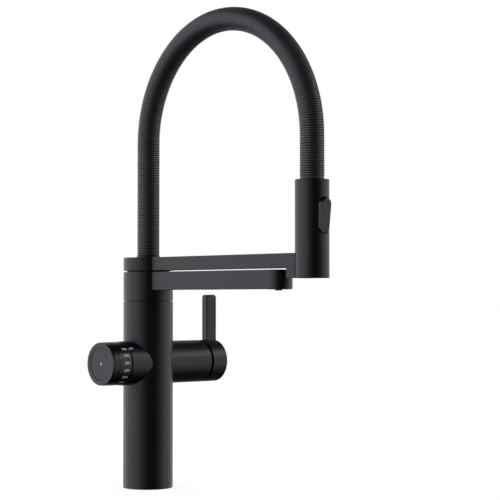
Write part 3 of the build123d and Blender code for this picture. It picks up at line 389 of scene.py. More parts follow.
@dataclass(frozen=True)
class Lacquer(Finish):
    """Sprayed satin lacquer: a faint orange peel, soft patches of gloss and fine dust."""

    patch_size: float = 14 * MM
    patch_detail: float = 3.0
    peel_size: float = 0.9 * MM
    relief: float = 0.004 * MM
    dust_size: float = 0.35 * MM
    dust_edge: Pair = (0.10, 0.02)
    dust_cover: float = 0.35
    dust_tone: float = 4.0
    dust_dull: float = 0.08
    dust_height: float = 0.3

    def paint(self, shader: Shader) -> None:
        """Fill the shader for lacquer."""
        patches = shader.noise(self.patch_size, self.patch_detail)
        peel = shader.noise(self.peel_size, 1.0)
        dust = shader.cells(self.dust_size).ramp(*self.dust_edge)
        shader.set(
            Base_Color=shader.blend(dust * self.dust_cover, self.colour, self.tone(self.dust_tone)),
            Roughness=self.uneven(patches) + dust * self.dust_dull,
            Normal=shader.bump(peel + dust * self.dust_height, self.relief),
            Specular_IOR_Level=0.5,
        )


@dataclass(frozen=True)
class Machined(Finish):
    """Bare metal from a lathe or mill: fine streaks, and a duller film in patches."""

    swing: float = 0.12
    patch_size: float = 0.25 * MM
    patch_along: Colour = (1.0, 1.0, 0.06)
    relief: float = 0.006 * MM
    film_size: float = 9 * MM
    film_edge: Pair = (0.42, 0.68)
    film_tone: float = 0.8
    film_dull: float = 0.10

    def paint(self, shader: Shader) -> None:
        """Fill the shader for machined metal."""
        streaks = shader.noise(self.patch_size, self.patch_detail, self.patch_along)
        film = shader.noise(self.film_size, 3.0).ramp(*self.film_edge)
        shader.set(
            Base_Color=shader.blend(film, self.colour, self.tone(self.film_tone)),
            Roughness=self.roughness + streaks * self.swing + film * self.film_dull,
            Normal=self.normal(shader, streaks),
            Metallic=1.0,
        )


@dataclass(frozen=True)
class Moulded(Finish):
    """Moulded plastic or rubber: a fine eroded grain and slight flow marks."""

    swing: float = 0.12
    patch_size: float = 6 * MM
    patch_along: Colour = (1.0, 1.0, 0.3)
    tones: Pair = (0.85, 1.15)
    grain_size: float = 0.3 * MM
    relief: float = 0.01 * MM

    def normal(self, shader: Shader, patch: Value) -> Socket:
        """The normal of the grain; the flow marks have none."""
        return shader.bump(shader.cells(self.grain_size), self.relief)


@dataclass(frozen=True)
class Sleeve(Finish):
    """The hose's ribbed plastic: crests rubbed a little smoother, the valleys duller, and their
    colour darkened as painted shade.
    """

    shine: float = 0.95
    # Share of the colour left in the rib valleys: painted shade between the ribs.
    painted_valley_shade: float = 0.35
    valley_dull: float = 0.45
    patch_size: float = 0.5 * MM
    relief: float = 0.006 * MM

    def paint(self, shader: Shader) -> None:
        """Fill the shader for the ribbed sleeve."""
        valley = shader.attribute("valley")
        grain = shader.noise(self.patch_size, self.patch_detail)
        shader.set(
            # The colour darkens towards the valleys: painted shade in the creases between the ribs.
            Base_Color=shader.blend(valley, self.colour, self.tone(self.painted_valley_shade)),
            Roughness=self.uneven(grain) + valley * self.valley_dull,
            Normal=self.normal(shader, grain),
            Specular_IOR_Level=self.shine,
        )


@dataclass(frozen=True)
class Lit(Finish):
    """A frosted lens with a light behind it, a little uneven."""

    patch_size: float = 0.6 * MM
    tones: Pair = (0.92, 1.0)
    relief: float = 0.004 * MM
    glow: Colour = (1.0, 1.0, 1.0)
    glow_tone: float = 0.85
    strength: float = 0.5

    def paint(self, shader: Shader) -> None:
        """Fill the shader for a lit lens."""
        super().paint(shader)
        frost = shader.noise(self.patch_size, self.patch_detail)
        shader.set(
            Emission_Color=shader.blend(frost, shade(self.glow, self.glow_tone), self.glow),
            Emission_Strength=self.strength,
        )


LACQUER = Lacquer("satin_lacquer", Slot.SATIN_BLACK, (0.0032, 0.0033, 0.0038), 0.36)
DIAL_LACQUER = Lacquer("dial_lacquer", Slot.SATIN_BLACK, (0.0030, 0.0031, 0.0036), 0.32)
GAP_BLACK = Moulded("gap_plastic", Slot.DARK_PLASTIC, (0.006, 0.006, 0.007), 0.55)
HOSE = Sleeve("hose_plastic", Slot.HOSE_BLACK, (0.016, 0.016, 0.018), 0.40)
BRASS = Machined("turned_brass", Slot.BRASS, (0.72, 0.52, 0.26), 0.24)
STEEL = Machined("drawn_steel", Slot.STEEL, (0.60, 0.61, 0.63), 0.26, patch_along=(1.0, 0.06, 1.0))
RUBBER = Moulded("seal_rubber", Slot.RUBBER, (0.018, 0.018, 0.018), 0.75, grain_size=0.5 * MM)
SOFT_NOZZLE = Moulded("nozzle_rubber", Slot.RUBBER, (0.045, 0.046, 0.05), 0.62)
INNER = Moulded("inner_plastic", Slot.INNER_PLASTIC, (0.25, 0.26, 0.28), 0.50)
DARK = Moulded("dark_plastic", Slot.DARK_PLASTIC, (0.014, 0.014, 0.016), 0.45)
CERAMIC = Finish(
    "disc_ceramic", Slot.CERAMIC, (0.86, 0.85, 0.82), 0.18, swing=0.06, patch_detail=3.0
)
MARK = Lit("lit_mark", Slot.LENS, (0.10, 0.11, 0.20), 0.40, glow=(0.50, 0.51, 1.0), strength=0.24)
DOT = Lit("face_dot", Slot.LENS, (0.34, 0.34, 0.36), 0.40, glow=(0.75, 0.78, 0.85), strength=0.08)
INK = Moulded("number_ink", Slot.INNER_PLASTIC, (0.75, 0.75, 0.77), 0.55, relief=0.002 * MM)
WATER_HOSE = Moulded("water_hose_plastic", Slot.HOSE_BLACK, (0.10, 0.10, 0.11), 0.40)

SLOT_FINISH = {
    finish.slot: finish
    for finish in (LACQUER, BRASS, STEEL, RUBBER, HOSE, INNER, DARK, CERAMIC, DOT)
}


# Shapes


@dataclass(frozen=True)
class Extent:
    """The box of a CAD node, in metres."""

    low: Vector
    high: Vector

    @classmethod
    def of(cls, node: str) -> Self:
        """The box of the node with this name."""
        return cls(*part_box(node))

    @property
    def size(self) -> Vector:
        """How long the box is along each axis."""
        return self.high - self.low

    @property
    def centre(self) -> Vector:
        """The middle of the box."""
        return (self.low + self.high) / 2


def arc(centre: Pair, radius: float, start: float, end: float, parts: int) -> list[Pair]:
    """Points along an arc from one angle in degrees to another, in equal parts."""
    turns = [math.radians(start + (end - start) * i / parts) for i in range(parts + 1)]
    return [(centre[0] + radius * math.cos(t), centre[1] + radius * math.sin(t)) for t in turns]


def rectangle(left: float, right: float, low: float, high: float) -> list[Pair]:
    """The corners of a rectangle, from its low left one."""
    return [(left, low), (right, low), (right, high), (left, high)]


def add(name: str, data: bpy.types.ID) -> bpy.types.Object:
    """Put an object with this data into the scene.

    Args:
        name: The object's name.
        data: Its mesh, curve, camera or lamp.

    Returns:
        The new object.
    """
    item = bpy.data.objects.new(name, data)
    bpy.context.scene.collection.objects.link(item)
    return item


def plain_mesh(item: bpy.types.Object) -> bpy.types.Mesh:
    """A new mesh of what the object and its modifiers make."""
    graph = bpy.context.evaluated_depsgraph_get()
    return bpy.data.meshes.new_from_object(item.evaluated_get(graph))


@contextmanager
def editing(mesh: bpy.types.Mesh) -> Iterator[bmesh.types.BMesh]:
    """Open a mesh for work and write it back afterwards.

    Args:
        mesh: The mesh to work on.

    Yields:
        The open mesh.
    """
    work = bmesh.new()
    work.from_mesh(mesh)
    yield work
    work.to_mesh(mesh)
    work.free()


def box_field(node: str) -> Extent:
    """A field that starts as a node's box."""
    return field(default_factory=lambda: Extent.of(node))


class Solid:
    """A closed mesh and the work that the pieces need on it."""

    def __init__(self, name: str, data: bpy.types.ID) -> None:
        """Put a mesh, or a curve for one, into the scene under a name."""
        self.item = add(name, data)

    @classmethod
    def of(cls, name: str, points: list, faces: list) -> Self:
        """A closed mesh from points and faces, welded and with its normals outwards.

        Args:
            name: The piece's name.
            points: Its corners.
            faces: The places of each face's corners.

        Returns:
            The solid.
        """
        mesh = bpy.data.meshes.new(name)
        mesh.from_pydata(points, [], faces)
        with editing(mesh) as work:
            bmesh.ops.remove_doubles(work, verts=work.verts, dist=WELD)
            bmesh.ops.recalc_face_normals(work, faces=work.faces)
        return cls(name, mesh)

    @classmethod
    def lathe(
        cls,
        name: str,
        profile: list[Pair],
        axis: Axis = Axis.UP,
        origin: Vector = ORIGIN,
        steps: int = STEPS,
    ) -> Self:
        """Turn a closed outline about an axis.

        Args:
            name: The piece's name.
            profile: Pairs of radius and place along the axis, from the origin.
            axis: The axis to turn about.
            origin: A point on the axis.
            steps: How many flats the turn has.

        Returns:
            The turned solid.
        """
        points = []
        for i in range(steps):
            turn = math.tau * i / steps
            for radius, along in profile:
                a, b = radius * math.cos(turn), radius * math.sin(turn)
                local = (a, b, along) if axis is Axis.UP else (along, a, b)
                points.append(origin + Vector(local))
        count = len(profile)
        faces = []
        for i in range(steps):
            for j in range(count):
                here, after = i * count, (i + 1) % steps * count
                k = (j + 1) % count
                faces.append((here + j, after + j, after + k, here + k))
        return cls.of(name, points, faces)

    @classmethod
    def rod(
        cls, width: float, low: float, high: float, origin: Vector = ORIGIN, axis: Axis = Axis.UP
    ) -> Self:
        """A plain rod of a radius between two places on an axis, to cut with."""
        return cls.lathe("work", rectangle(0.0, width, low, high), axis, origin)

    @classmethod
    def slab(
        cls, name: str, outline: list[Pair], low: float, high: float, place: Matrix | None = None
    ) -> Self:
        """Raise a closed outline between two heights.

        Args:
            name: The piece's name.
            outline: The outline's corners.
            low: The height of one face.
            high: The height of the other.
            place: Where the outline's own axes lie, or none for the frame's.

        Returns:
            The raised solid.
        """
        place = place or Matrix.Identity(4)
        count = len(outline)
        points = [place @ Vector((*p, z)) for z in (low, high) for p in outline]
        sides = [(i, (i + 1) % count, (i + 1) % count + count, i + count) for i in range(count)]
        caps = [tuple(range(count)), tuple(range(count, 2 * count))]
        return cls.of(name, points, sides + caps)

    @classmethod
    def cast(cls, name: str, node: str) -> Self:
        """A welded copy of a CAD node's mesh, its flat faces made whole.

        Args:
            name: The piece's name.
            node: The CAD node.

        Returns:
            The copy.
        """
        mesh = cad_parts[node].data.copy()
        with editing(mesh) as work:
            bmesh.ops.remove_doubles(work, verts=work.verts, dist=WELD)
            flat = math.radians(0.3)
            bmesh.ops.dissolve_limit(work, angle_limit=flat, verts=work.verts, edges=work.edges)
        normals = mesh.attributes.get("custom_normal")
        if normals:
            mesh.attributes.remove(normals)
        return cls(name, mesh)

    def settle(self) -> Self:
        """Make the modifiers' result the piece's plain mesh."""
        old, name = self.item, self.item.name
        self.item = add(name, plain_mesh(old))
        bpy.data.objects.remove(old)
        self.item.name = name
        return self

    def _combine(self, operation: str, others: tuple["Solid", ...]) -> Self:
        """Join, cut or keep with other solids, which are used up.

        Args:
            operation: The Boolean modifier's operation.
            others: The other solids.

        Returns:
            This solid.
        """
        for other in others:
            work = self.item.modifiers.new("work", "BOOLEAN")
            work.operation = operation
            work.solver = "EXACT"
            work.object = other.item
            self.settle()
            bpy.data.objects.remove(other.item)
        return self

    def join(self, *others: "Solid") -> Self:
        """Add other solids to this one."""
        return self._combine("UNION", others)

    def cut(self, *others: "Solid") -> Self:
        """Take other solids away from this one."""
        return self._combine("DIFFERENCE", others)

    def soften(self, width: float, segments: int = 3, angle: float = 32.0) -> Self:
        """Round the edges that turn by more than an angle in degrees.

        Args:
            width: How far the rounding reaches.
            segments: How many flats it has.
            angle: The least turn that is rounded.

        Returns:
            This solid.
        """
        work = self.item.modifiers.new("work", "BEVEL")
        work.width = width
        work.segments = segments
        work.limit_method = "ANGLE"
        work.angle_limit = math.radians(angle)
        work.miter_outer = "MITER_ARC"
        return self.settle()

    def smooth(self, angle: float = 38.0) -> Self:
        """Shade the faces smooth, but for edges that turn by more than an angle.

        Args:
            angle: The least turn that stays sharp.

        Returns:
            This solid.
        """
        self.item.data.shade_smooth()
        self.item.data.set_sharp_from_angle(angle=math.radians(angle))
        work = self.item.modifiers.new("work", "WEIGHTED_NORMAL")
        work.keep_sharp = True
        return self.settle()

    def dress(self, body: Body, finish: Finish, *nodes: str) -> bpy.types.Object:
        """Give the piece its finish, its body and the nodes it stands for.

        Args:
            body: The body it rides on.
            finish: What it is made of, with the record's slot of it.
            nodes: The CAD nodes that it replaces.

        Returns:
            The finished piece.
        """
        self.item.data.materials.clear()
        self.item.data.materials.append(finish.material())
        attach(self.item, body.value)
        if nodes:
            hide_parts(*nodes)
        report(self.item)
        return self.item


def refine(
    body: Body, finish: Finish, name: str, node: str, width: float, segments: int = 3
) -> None:
    """Dress a CAD node's own shape, its edges rounded by a width."""
    Solid.cast(name, node).soften(width, segments).smooth().dress(body, finish, node)


def report(piece: bpy.types.Object) -> None:
    """Log a finished piece and how many faces it has."""
    log.info("%s: %d faces", piece.name, len(piece.data.polygons))


# Geometry Nodes


class Rig(Graph):
    """A Geometry Nodes tree with named inputs, run once on a piece."""

    def __init__(self, name: str) -> None:
        """Start a tree that takes and gives a geometry and takes a material.

        Args:
            name: The tree's name.
        """
        super().__init__(bpy.data.node_groups.new(name, "GeometryNodeTree"))
        self.tree.interface.new_socket(
            "Geometry", in_out="OUTPUT", socket_type="NodeSocketGeometry"
        )
        self.entry("Geometry", "NodeSocketGeometry")
        self.entry("Material", "NodeSocketMaterial")
        self.start = self.node("NodeGroupInput")
        self.end = self.node("NodeGroupOutput")

    def entry(self, name: str, kind: str) -> None:
        """Add a named input to the tree."""
        self.tree.interface.new_socket(name, in_out="INPUT", socket_type=kind)

    def size(self, name: str) -> Value:
        """A named input, to work with."""
        return Value(self, self.start.outputs[name])

    def shape(
        self, kind: str, settings: dict | None = None, **inputs: object
    ) -> Socket:
        """Add a Geometry node, its inputs' words joined by underscores, for its first output."""
        named = {key.replace("_", " "): value for key, value in inputs.items()}
        return self.node(f"GeometryNode{kind}", settings, named).outputs[0]

    def finish(self, made: Socket) -> None:
        """End the tree: make instances real and set the material.

        Args:
            made: What the tree has made.
        """
        real = self.shape("RealizeInstances", Geometry=made)
        finish = self.start.outputs["Material"]
        self.fill(self.end.inputs[0], self.shape("SetMaterial", Geometry=real, Material=finish))

    def run(self, solid: Solid, **sizes: object) -> Solid:
        """Run the tree on a solid's object and keep the plain mesh.

        Args:
            solid: What the tree works on.
            sizes: A value for each named input, its words joined by underscores.

        Returns:
            The same solid with the tree's mesh.
        """
        work = solid.item.modifiers.new("work", "NODES")
        work.node_group = self.tree
        for socket in self.tree.interface.items_tree:
            name = socket.name.replace(" ", "_")
            if socket.in_out == "INPUT" and name in sizes:
                work[socket.identifier] = sizes[name]
        return solid.settle()


def polar_rig() -> Rig:
    """A tree that sets copies of a piece round the Z axis at a radius."""
    rig = Rig("ring_of_copies")
    rig.entry("Count", "NodeSocketInt")
    rig.entry("Radius", "NodeSocketFloat")
    turn = Value(rig, rig.shape("InputIndex")) * math.tau / rig.size("Count")
    shift = rig.node("ShaderNodeCombineXYZ", inputs={"X": rig.size("Radius")}).outputs[0]
    spin = rig.node("ShaderNodeCombineXYZ", inputs={"Z": turn}).outputs[0]
    moved = rig.shape("Transform", Geometry=rig.start.outputs["Geometry"], Translation=shift)
    line = rig.shape("MeshLine", Count=rig.size("Count"), Offset=(0.0, 0.0, 0.0))
    rig.finish(rig.shape("InstanceOnPoints", Points=line, Instance=moved, Rotation=spin))
    return rig


def sleeve_rig() -> Rig:
    """A tree that runs a ribbed tube with a bore along a curve, its ends open."""
    rig = Rig("ribbed_tube")
    for name in ("Ribs", "Rings per rib", "Round"):
        rig.entry(name, "NodeSocketInt")
    for name in ("Radius", "Rib depth", "Bore"):
        rig.entry(name, "NodeSocketFloat")
    line, by_count = rig.start.outputs["Geometry"], {"mode": "COUNT"}
    stations = rig.size("Ribs") * rig.size("Rings per rib") + 1
    route = rig.shape("ResampleCurve", by_count, Curve=line, Count=stations)
    phase = (Value(rig, rig.shape("InputIndex")) / rig.size("Rings per rib")).fraction()
    valley = abs(phase * 2 - 1) ** VALLEY_POWER
    kept = {"data_type": "FLOAT", "domain": "POINT"}
    marked = rig.shape("StoreNamedAttribute", kept, Geometry=route, Name="valley", Value=valley)
    ring = rig.shape("CurvePrimitiveCircle", Resolution=rig.size("Round"))
    width = rig.size("Radius") - rig.size("Rib depth") * valley
    outer = rig.shape("CurveToMesh", Curve=marked, Profile_Curve=ring, Scale=width)
    core = rig.shape("ResampleCurve", by_count, Curve=line, Count=rig.size("Ribs") + 1)
    inner = rig.shape("CurveToMesh", Curve=core, Profile_Curve=ring, Scale=rig.size("Bore"))
    both = rig.node("GeometryNodeJoinGeometry", inputs={0: outer})
    rig.fill(both.inputs[0], inner)
    rig.finish(both.outputs[0])
    return rig


# Sub-assemblies


@dataclass
class Column:
    """The upright tube and the slide rings at its top."""

    edge: float = 0.2 * MM
    box: Extent = box_field("column_shell")

    def build(self) -> Solid:
        """Build the tube with its two side holes."""
        radius = self.box.high.x
        bore = Extent.of("base_plate").high.x + FIT
        tube = Solid.lathe("column_tube", rectangle(bore, radius, 0.0, self.box.high.z))
        tube.soften(self.edge)
        for node, sign in (("cartridge_housing", 1), ("encoder_housing", -1)):
            hole = Extent.of(node)
            middle = Vector((0, 0, hole.centre.z))
            end = sign * 2 * radius
            tube.cut(Solid.rod(hole.size.y / 2 + FIT, 0.0, end, middle, Axis.ACROSS))
        return tube.smooth()

    def dress(self) -> None:
        """Finish the column."""
        self.build().dress(Body.STAND, LACQUER, "column_shell")
        rings = Solid.cast("neck_rings", "slide_rings").smooth()
        rings.dress(Body.STAND, GAP_BLACK, "slide_rings")


def column_rod() -> Solid:
    """A rod as thick as the column and a good deal longer, to fit the barrels to it."""
    box = Extent.of("column_shell")
    return Solid.rod(box.high.x, -2 * box.high.z, 2 * box.high.z)


@dataclass
class Mixer:
    """The mixer barrel, the lever's round cap and its upright bar."""

    edge: float = 0.35 * MM
    bar_edge: float = 0.25 * MM

    def barrel(self) -> Solid:
        """The barrel, fitted to the column's curve."""
        box = Extent.of("mixer_barrel")
        bore = Extent.of("cartridge_housing").size.y / 2 + FIT
        profile = rectangle(bore, box.size.y / 2, 0.0, box.high.x)
        made = Solid.lathe("mixer_tube", profile, Axis.ACROSS, Vector((0, 0, box.centre.z)))
        return made.soften(self.edge).cut(column_rod()).smooth()

    def dress(self) -> None:
        """Finish the barrel, the cap and the bar."""
        self.barrel().dress(Body.STAND, LACQUER, "mixer_barrel")
        refine(Body.LEVER, LACQUER, "lever_hub", "lever_cap", self.bar_edge)
        refine(Body.LEVER, LACQUER, "lever_blade", "lever_bar", self.bar_edge)


@dataclass
class Dial:
    """The dial side: barrel, lit mark, turning ring with its numbers and push face."""

    edge: float = 0.3 * MM
    ring_edge: float = 0.15 * MM
    face_edge: float = 0.2 * MM
    dot_edge: float = 0.15 * MM
    band: float = 13.7 * MM
    gap: float = 1.0 * MM
    reach: float = 0.5 * MM
    skirt_play: float = 0.25 * MM
    groove: float = 1.0 * MM
    groove_depth: float = 0.45 * MM
    bevel: float = 2.7 * MM
    bevel_drop: float = 0.35 * MM
    wall: float = 2.8 * MM
    lip: float = 2.5 * MM
    flange: float = 1.5 * MM
    cells: int = 18
    first_amount: int = 50
    amount_step: int = 50
    first_angle: float = 63.0
    number_place: float = 0.36
    number_size: float = 3.5 * MM
    number_stretch: float = 1.3
    number_weight: float = 0.08 * MM
    number_lift: float = 0.07 * MM
    mark_length: float = 4.5 * MM
    mark_width: float = 2.4 * MM
    mark_corner: float = 0.5 * MM
    mark_depth: float = 2 * MM
    mark_sunk: float = 0.05 * MM
    mouth_edge: float = 0.2 * MM
    face_lift: float = 0.35 * MM
    face_travel: float = 1.0 * MM
    line_width: float = 0.3 * MM
    line_lift: float = 0.05 * MM
    line_depth: float = 0.2 * MM
    line_margin: float = 0.6 * MM
    ring: Extent = box_field("dial_ring")

    @property
    def axis(self) -> Vector:
        """A point on the dial's axis."""
        return Vector((0, 0, self.ring.centre.z))

    @property
    def radius(self) -> float:
        """The ring's outer radius."""
        return self.ring.size.y / 2

    @property
    def barrel_end(self) -> float:
        """Where the fixed barrel ends, next to the gap."""
        return Extent.of("dial_barrel").low.x - self.reach

    def light(self, name: str, grow: float, past: float, low: float, high: float) -> Solid:
        """A plate with round corners where the lit mark is.

        Args:
            name: The piece's name.
            grow: How much wider than the mark it is on each side.
            past: How far it runs on towards the barrel's end.
            low: The radius of its inner face.
            high: The radius of its outer face.

        Returns:
            The mark itself, or the window for it.
        """
        mark = Extent.of("indicator_light")
        turn = math.atan2(mark.centre.z - self.axis.z, -mark.centre.y)
        corner = self.mark_corner + grow
        x = self.mark_length / 2 + grow - corner
        y = self.mark_width / 2 + grow - corner
        outline = []
        far = -x - past
        for start, place in ((0, (x, y)), (90, (far, y)), (180, (far, -y)), (270, (x, -y))):
            outline += arc(place, corner, start, start + 90, 6)
        middle = self.barrel_end + self.mark_length / 2 + FIT
        place = Matrix.Translation((middle, 0, self.axis.z))
        turned = place @ Matrix.Rotation(math.pi / 2 - turn, 4, "X")
        return Solid.slab(name, outline, low, high, turned)

    def barrel(self) -> Solid:
        """The fixed barrel, fitted to the column's curve, with the mark's window."""
        radius = Extent.of("dial_barrel").size.y / 2
        bore = Extent.of("encoder_housing").size.y / 2 + FIT
        profile = rectangle(bore, radius, 0.0, self.barrel_end)
        made = Solid.lathe("dial_tube", profile, Axis.ACROSS, self.axis).soften(self.edge)
        window = self.light("work", FIT / 2, MM, bore - MM, radius + MM)
        return made.cut(column_rod(), window).smooth()

    def turning_ring(self) -> Solid:
        """The ring: number band, fine groove, smooth band and bevelled front."""
        r, back, front = self.radius, self.ring.high.x, self.ring.low.x
        mouth = Extent.of("dial_face").size.y / 2 - self.flange
        inner = r - self.wall
        step = r - self.groove_depth
        skirt = Extent.of("encoder_housing").size.y / 2 + self.skirt_play
        start = self.barrel_end - self.gap
        profile = [
            (inner, back),
            (skirt, back),
            (skirt, start),
            (r, start),
            (r, back - self.band),
            (step, back - self.band),
            (step, back - self.band - self.groove),
            (r, back - self.band - self.groove),
            (r, front + self.bevel),
            (r - self.bevel_drop, front),
            (mouth + self.mouth_edge, front),
            (mouth, front + self.mouth_edge),
            (mouth, front + self.lip),
            (inner, front + self.lip),
        ]
        made = Solid.lathe("dial_ring_turned", profile, Axis.ACROSS, self.axis)
        return made.soften(self.ring_edge, 2).smooth()

    def numbers(self) -> Solid:
        """Plain amounts wrapped round the number band, one in each cell but the first."""
        centre = self.ring.high.x - self.band * self.number_place
        reach = self.radius + self.number_lift
        whole = bpy.data.meshes.new("dial_numbers")
        with editing(whole) as work:
            for cell in range(1, self.cells):
                text = bpy.data.curves.new("number", "FONT")
                text.body = str(self.first_amount + self.amount_step * cell)
                text.size = self.number_size
                text.offset = self.number_weight
                text.align_x, text.align_y = "CENTER", "CENTER"
                item = add("number", text)
                mesh = plain_mesh(item)
                angle = math.radians(self.first_angle - cell * 360 / self.cells)
                for point in mesh.vertices:
                    x = centre + point.co.x * self.number_stretch
                    turn = angle + point.co.y / self.radius
                    wrapped = (x, -reach * math.cos(turn), reach * math.sin(turn))
                    point.co = self.axis + Vector(wrapped)
                work.from_mesh(mesh)
                bpy.data.objects.remove(item)
        return Solid("dial_numbers", whole)

    def cell_lines(self) -> Solid:
        """The fine lines between the numbers, set round the band."""
        high = self.ring.high.x - self.line_margin
        low = self.ring.high.x - self.band + self.line_margin
        half = self.line_width / 2
        place = Matrix(((0, 0, 1, 0), (1, 0, 0, 0), (0, 1, 0, 0), (0, 0, 0, 1)))
        outline = rectangle(-half, half, low, high)
        line = Solid.slab("dial_cell_lines", outline, -self.line_depth, self.line_lift, place)
        polar_rig().run(line, Count=self.cells, Radius=self.radius, Material=GAP_BLACK.material())
        middle = math.radians(self.first_angle + 180 / self.cells)
        turned = Matrix.Translation(self.axis) @ Matrix.Rotation(middle, 4, "X").inverted()
        swapped = Matrix(((0, 0, 1, 0), (-1, 0, 0, 0), (0, 1, 0, 0), (0, 0, 0, 1)))
        line.item.data.transform(turned @ swapped)
        return line

    def dress(self) -> None:
        """Finish the dial side."""
        self.barrel().dress(Body.STAND, LACQUER, "dial_barrel")
        self.turning_ring().dress(Body.DIAL, DIAL_LACQUER, "dial_ring")
        self.numbers().dress(Body.DIAL, INK)
        self.cell_lines().dress(Body.DIAL, GAP_BLACK)
        face = Solid.cast("push_face", "dial_face")
        rim = Extent.of("dial_face").low.x + MM
        for point in face.item.data.vertices:
            if point.co.x < rim:
                point.co.x -= self.face_lift
        face.soften(self.face_edge).smooth().dress(Body.FACE, LACQUER, "dial_face")
        outside = Extent.of("dial_barrel").size.y / 2
        low, high = outside - self.mark_depth, outside - self.mark_sunk
        mark = self.light("lit_window", 0.0, 0.0, low, high).smooth()
        mark.dress(Body.STAND, MARK, "indicator_light")
        refine(Body.FACE, DOT, "face_dot", "face_light", self.dot_edge, 2)
        box = Extent.of("face_spring")
        coil = Solid.cast("return_spring", "face_spring").smooth()
        spring = coil.dress(Body.DIAL, STEEL, "face_spring")
        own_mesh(spring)


@dataclass
class Arms:
    """The lower head with the filtered-water arm, and the upper ring with its holder."""

    edge: float = 0.3 * MM
    head_edge: float = 0.2 * MM
    nozzle_flange: float = 2.6 * MM
    disc_depth: float = 1.7 * MM
    journal: float = 10.5 * MM
    roof: float = 2.5 * MM
    cover_ledge: float = 0.9 * MM
    spray_gap: float = 0.3 * MM
    nut_gap: float = 0.3 * MM
    nut_drop: float = 0.2 * MM
    dock_edge: float = 0.25 * MM
    plate_edge: float = 0.2 * MM
    tip_edge: float = 0.1 * MM

    def head(self, name: str, box: Extent, edge: float, outline: list[Pair], low: float) -> Solid:
        """A turned head as wide as the box, and its arm from a height up to the top.

        Args:
            name: The piece's name.
            box: The box of the whole.
            edge: How far the head's edges are rounded.
            outline: The arm's outline from above.
            low: The height of the arm's underside.

        Returns:
            Head and arm in one.
        """
        made = Solid.lathe(name, rectangle(0.0, box.high.x, box.low.z, box.high.z))
        arm = Solid.slab("work", outline, low, box.high.z).soften(self.edge)
        return made.soften(edge).join(arm)

    def hollow(self, made: Solid, cover: str, top: float) -> Solid:
        """Cut a cover's rebate and the hollow over it, below the top, and smooth the arm.

        Args:
            made: The arm.
            cover: The cover's node.
            top: The height of the arm's top.

        Returns:
            The finished arm.
        """
        box = Extent.of(cover)
        for inset, high in ((-FIT, box.high.z), (self.cover_ledge, top - self.roof)):
            x, near, far = box.high.x - inset, box.high.y - inset, box.low.y + inset
            made.cut(Solid.slab("work", rectangle(-x, x, far, near), box.low.z - MM, high))
        return made.smooth()

    def spout(self) -> Solid:
        """The lower head and its arm with a round tip."""
        box, cover = Extent.of("spout_arm"), Extent.of("spout_cover")
        insert = Extent.of("outlet_insert")
        tip = insert.centre.y
        half = tip - box.low.y
        outline = [(half, 0.0), (-half, 0.0)] + arc((0.0, tip), half, 180.0, 360.0, 48)
        made = self.head("spout_head", box, self.head_edge, outline, cover.low.z)
        bore = Extent.of("spigot_seals").high.x + RUNNING
        body = insert.size.x / 2 - self.nozzle_flange + FIT
        disc = insert.size.x / 2 + FIT
        for width, y, low, high in (
            (bore, 0.0, box.low.z - MM, box.high.z + MM),
            (disc, tip, cover.low.z - MM, cover.low.z + self.disc_depth),
            (body, tip, cover.low.z - MM, insert.high.z + FIT),
        ):
            made.cut(Solid.rod(width, low, high, Vector((0, y, 0))))
        return self.hollow(made, "spout_cover", box.high.z)

    def holder(self) -> Solid:
        """The upper ring and its arm, ending in a curve round the hand spray."""
        box, spray = Extent.of("holder_arm"), Extent.of("spray_shell")
        half = Extent.of("dock_block").high.x
        hug = spray.size.x / 2 + self.spray_gap
        lean = math.degrees(math.acos(half / hug))
        centre = (0.0, spray.centre.y)
        outline = [(half, 0.0), (-half, 0.0)] + arc(centre, hug, 180.0 - lean, lean, 40)
        made = self.head("holder_ring", box, self.edge, outline, box.low.z)
        nut = Extent.of("retaining_nut")
        for width, low in (
            (self.journal + RUNNING, box.low.z - MM),
            (nut.size.x / 2 + self.nut_gap, nut.low.z - self.nut_drop),
        ):
            made.cut(Solid.rod(width, low, box.high.z + MM))
        return self.hollow(made, "holder_cover", box.high.z)

    def dress(self) -> None:
        """Finish both arms, the dock block and the outlet."""
        self.spout().dress(Body.SPOUT, LACQUER, "spout_arm")
        self.holder().dress(Body.HOLDER, LACQUER, "holder_arm")
        refine(Body.HOLDER, LACQUER, "dock_lug", "dock_block", self.dock_edge)
        refine(Body.SPOUT, DARK, "outlet_plate", "outlet_insert", self.plate_edge, 2)
        refine(Body.SPOUT, SOFT_NOZZLE, "outlet_tip", "outlet_nozzle", self.tip_edge, 2)


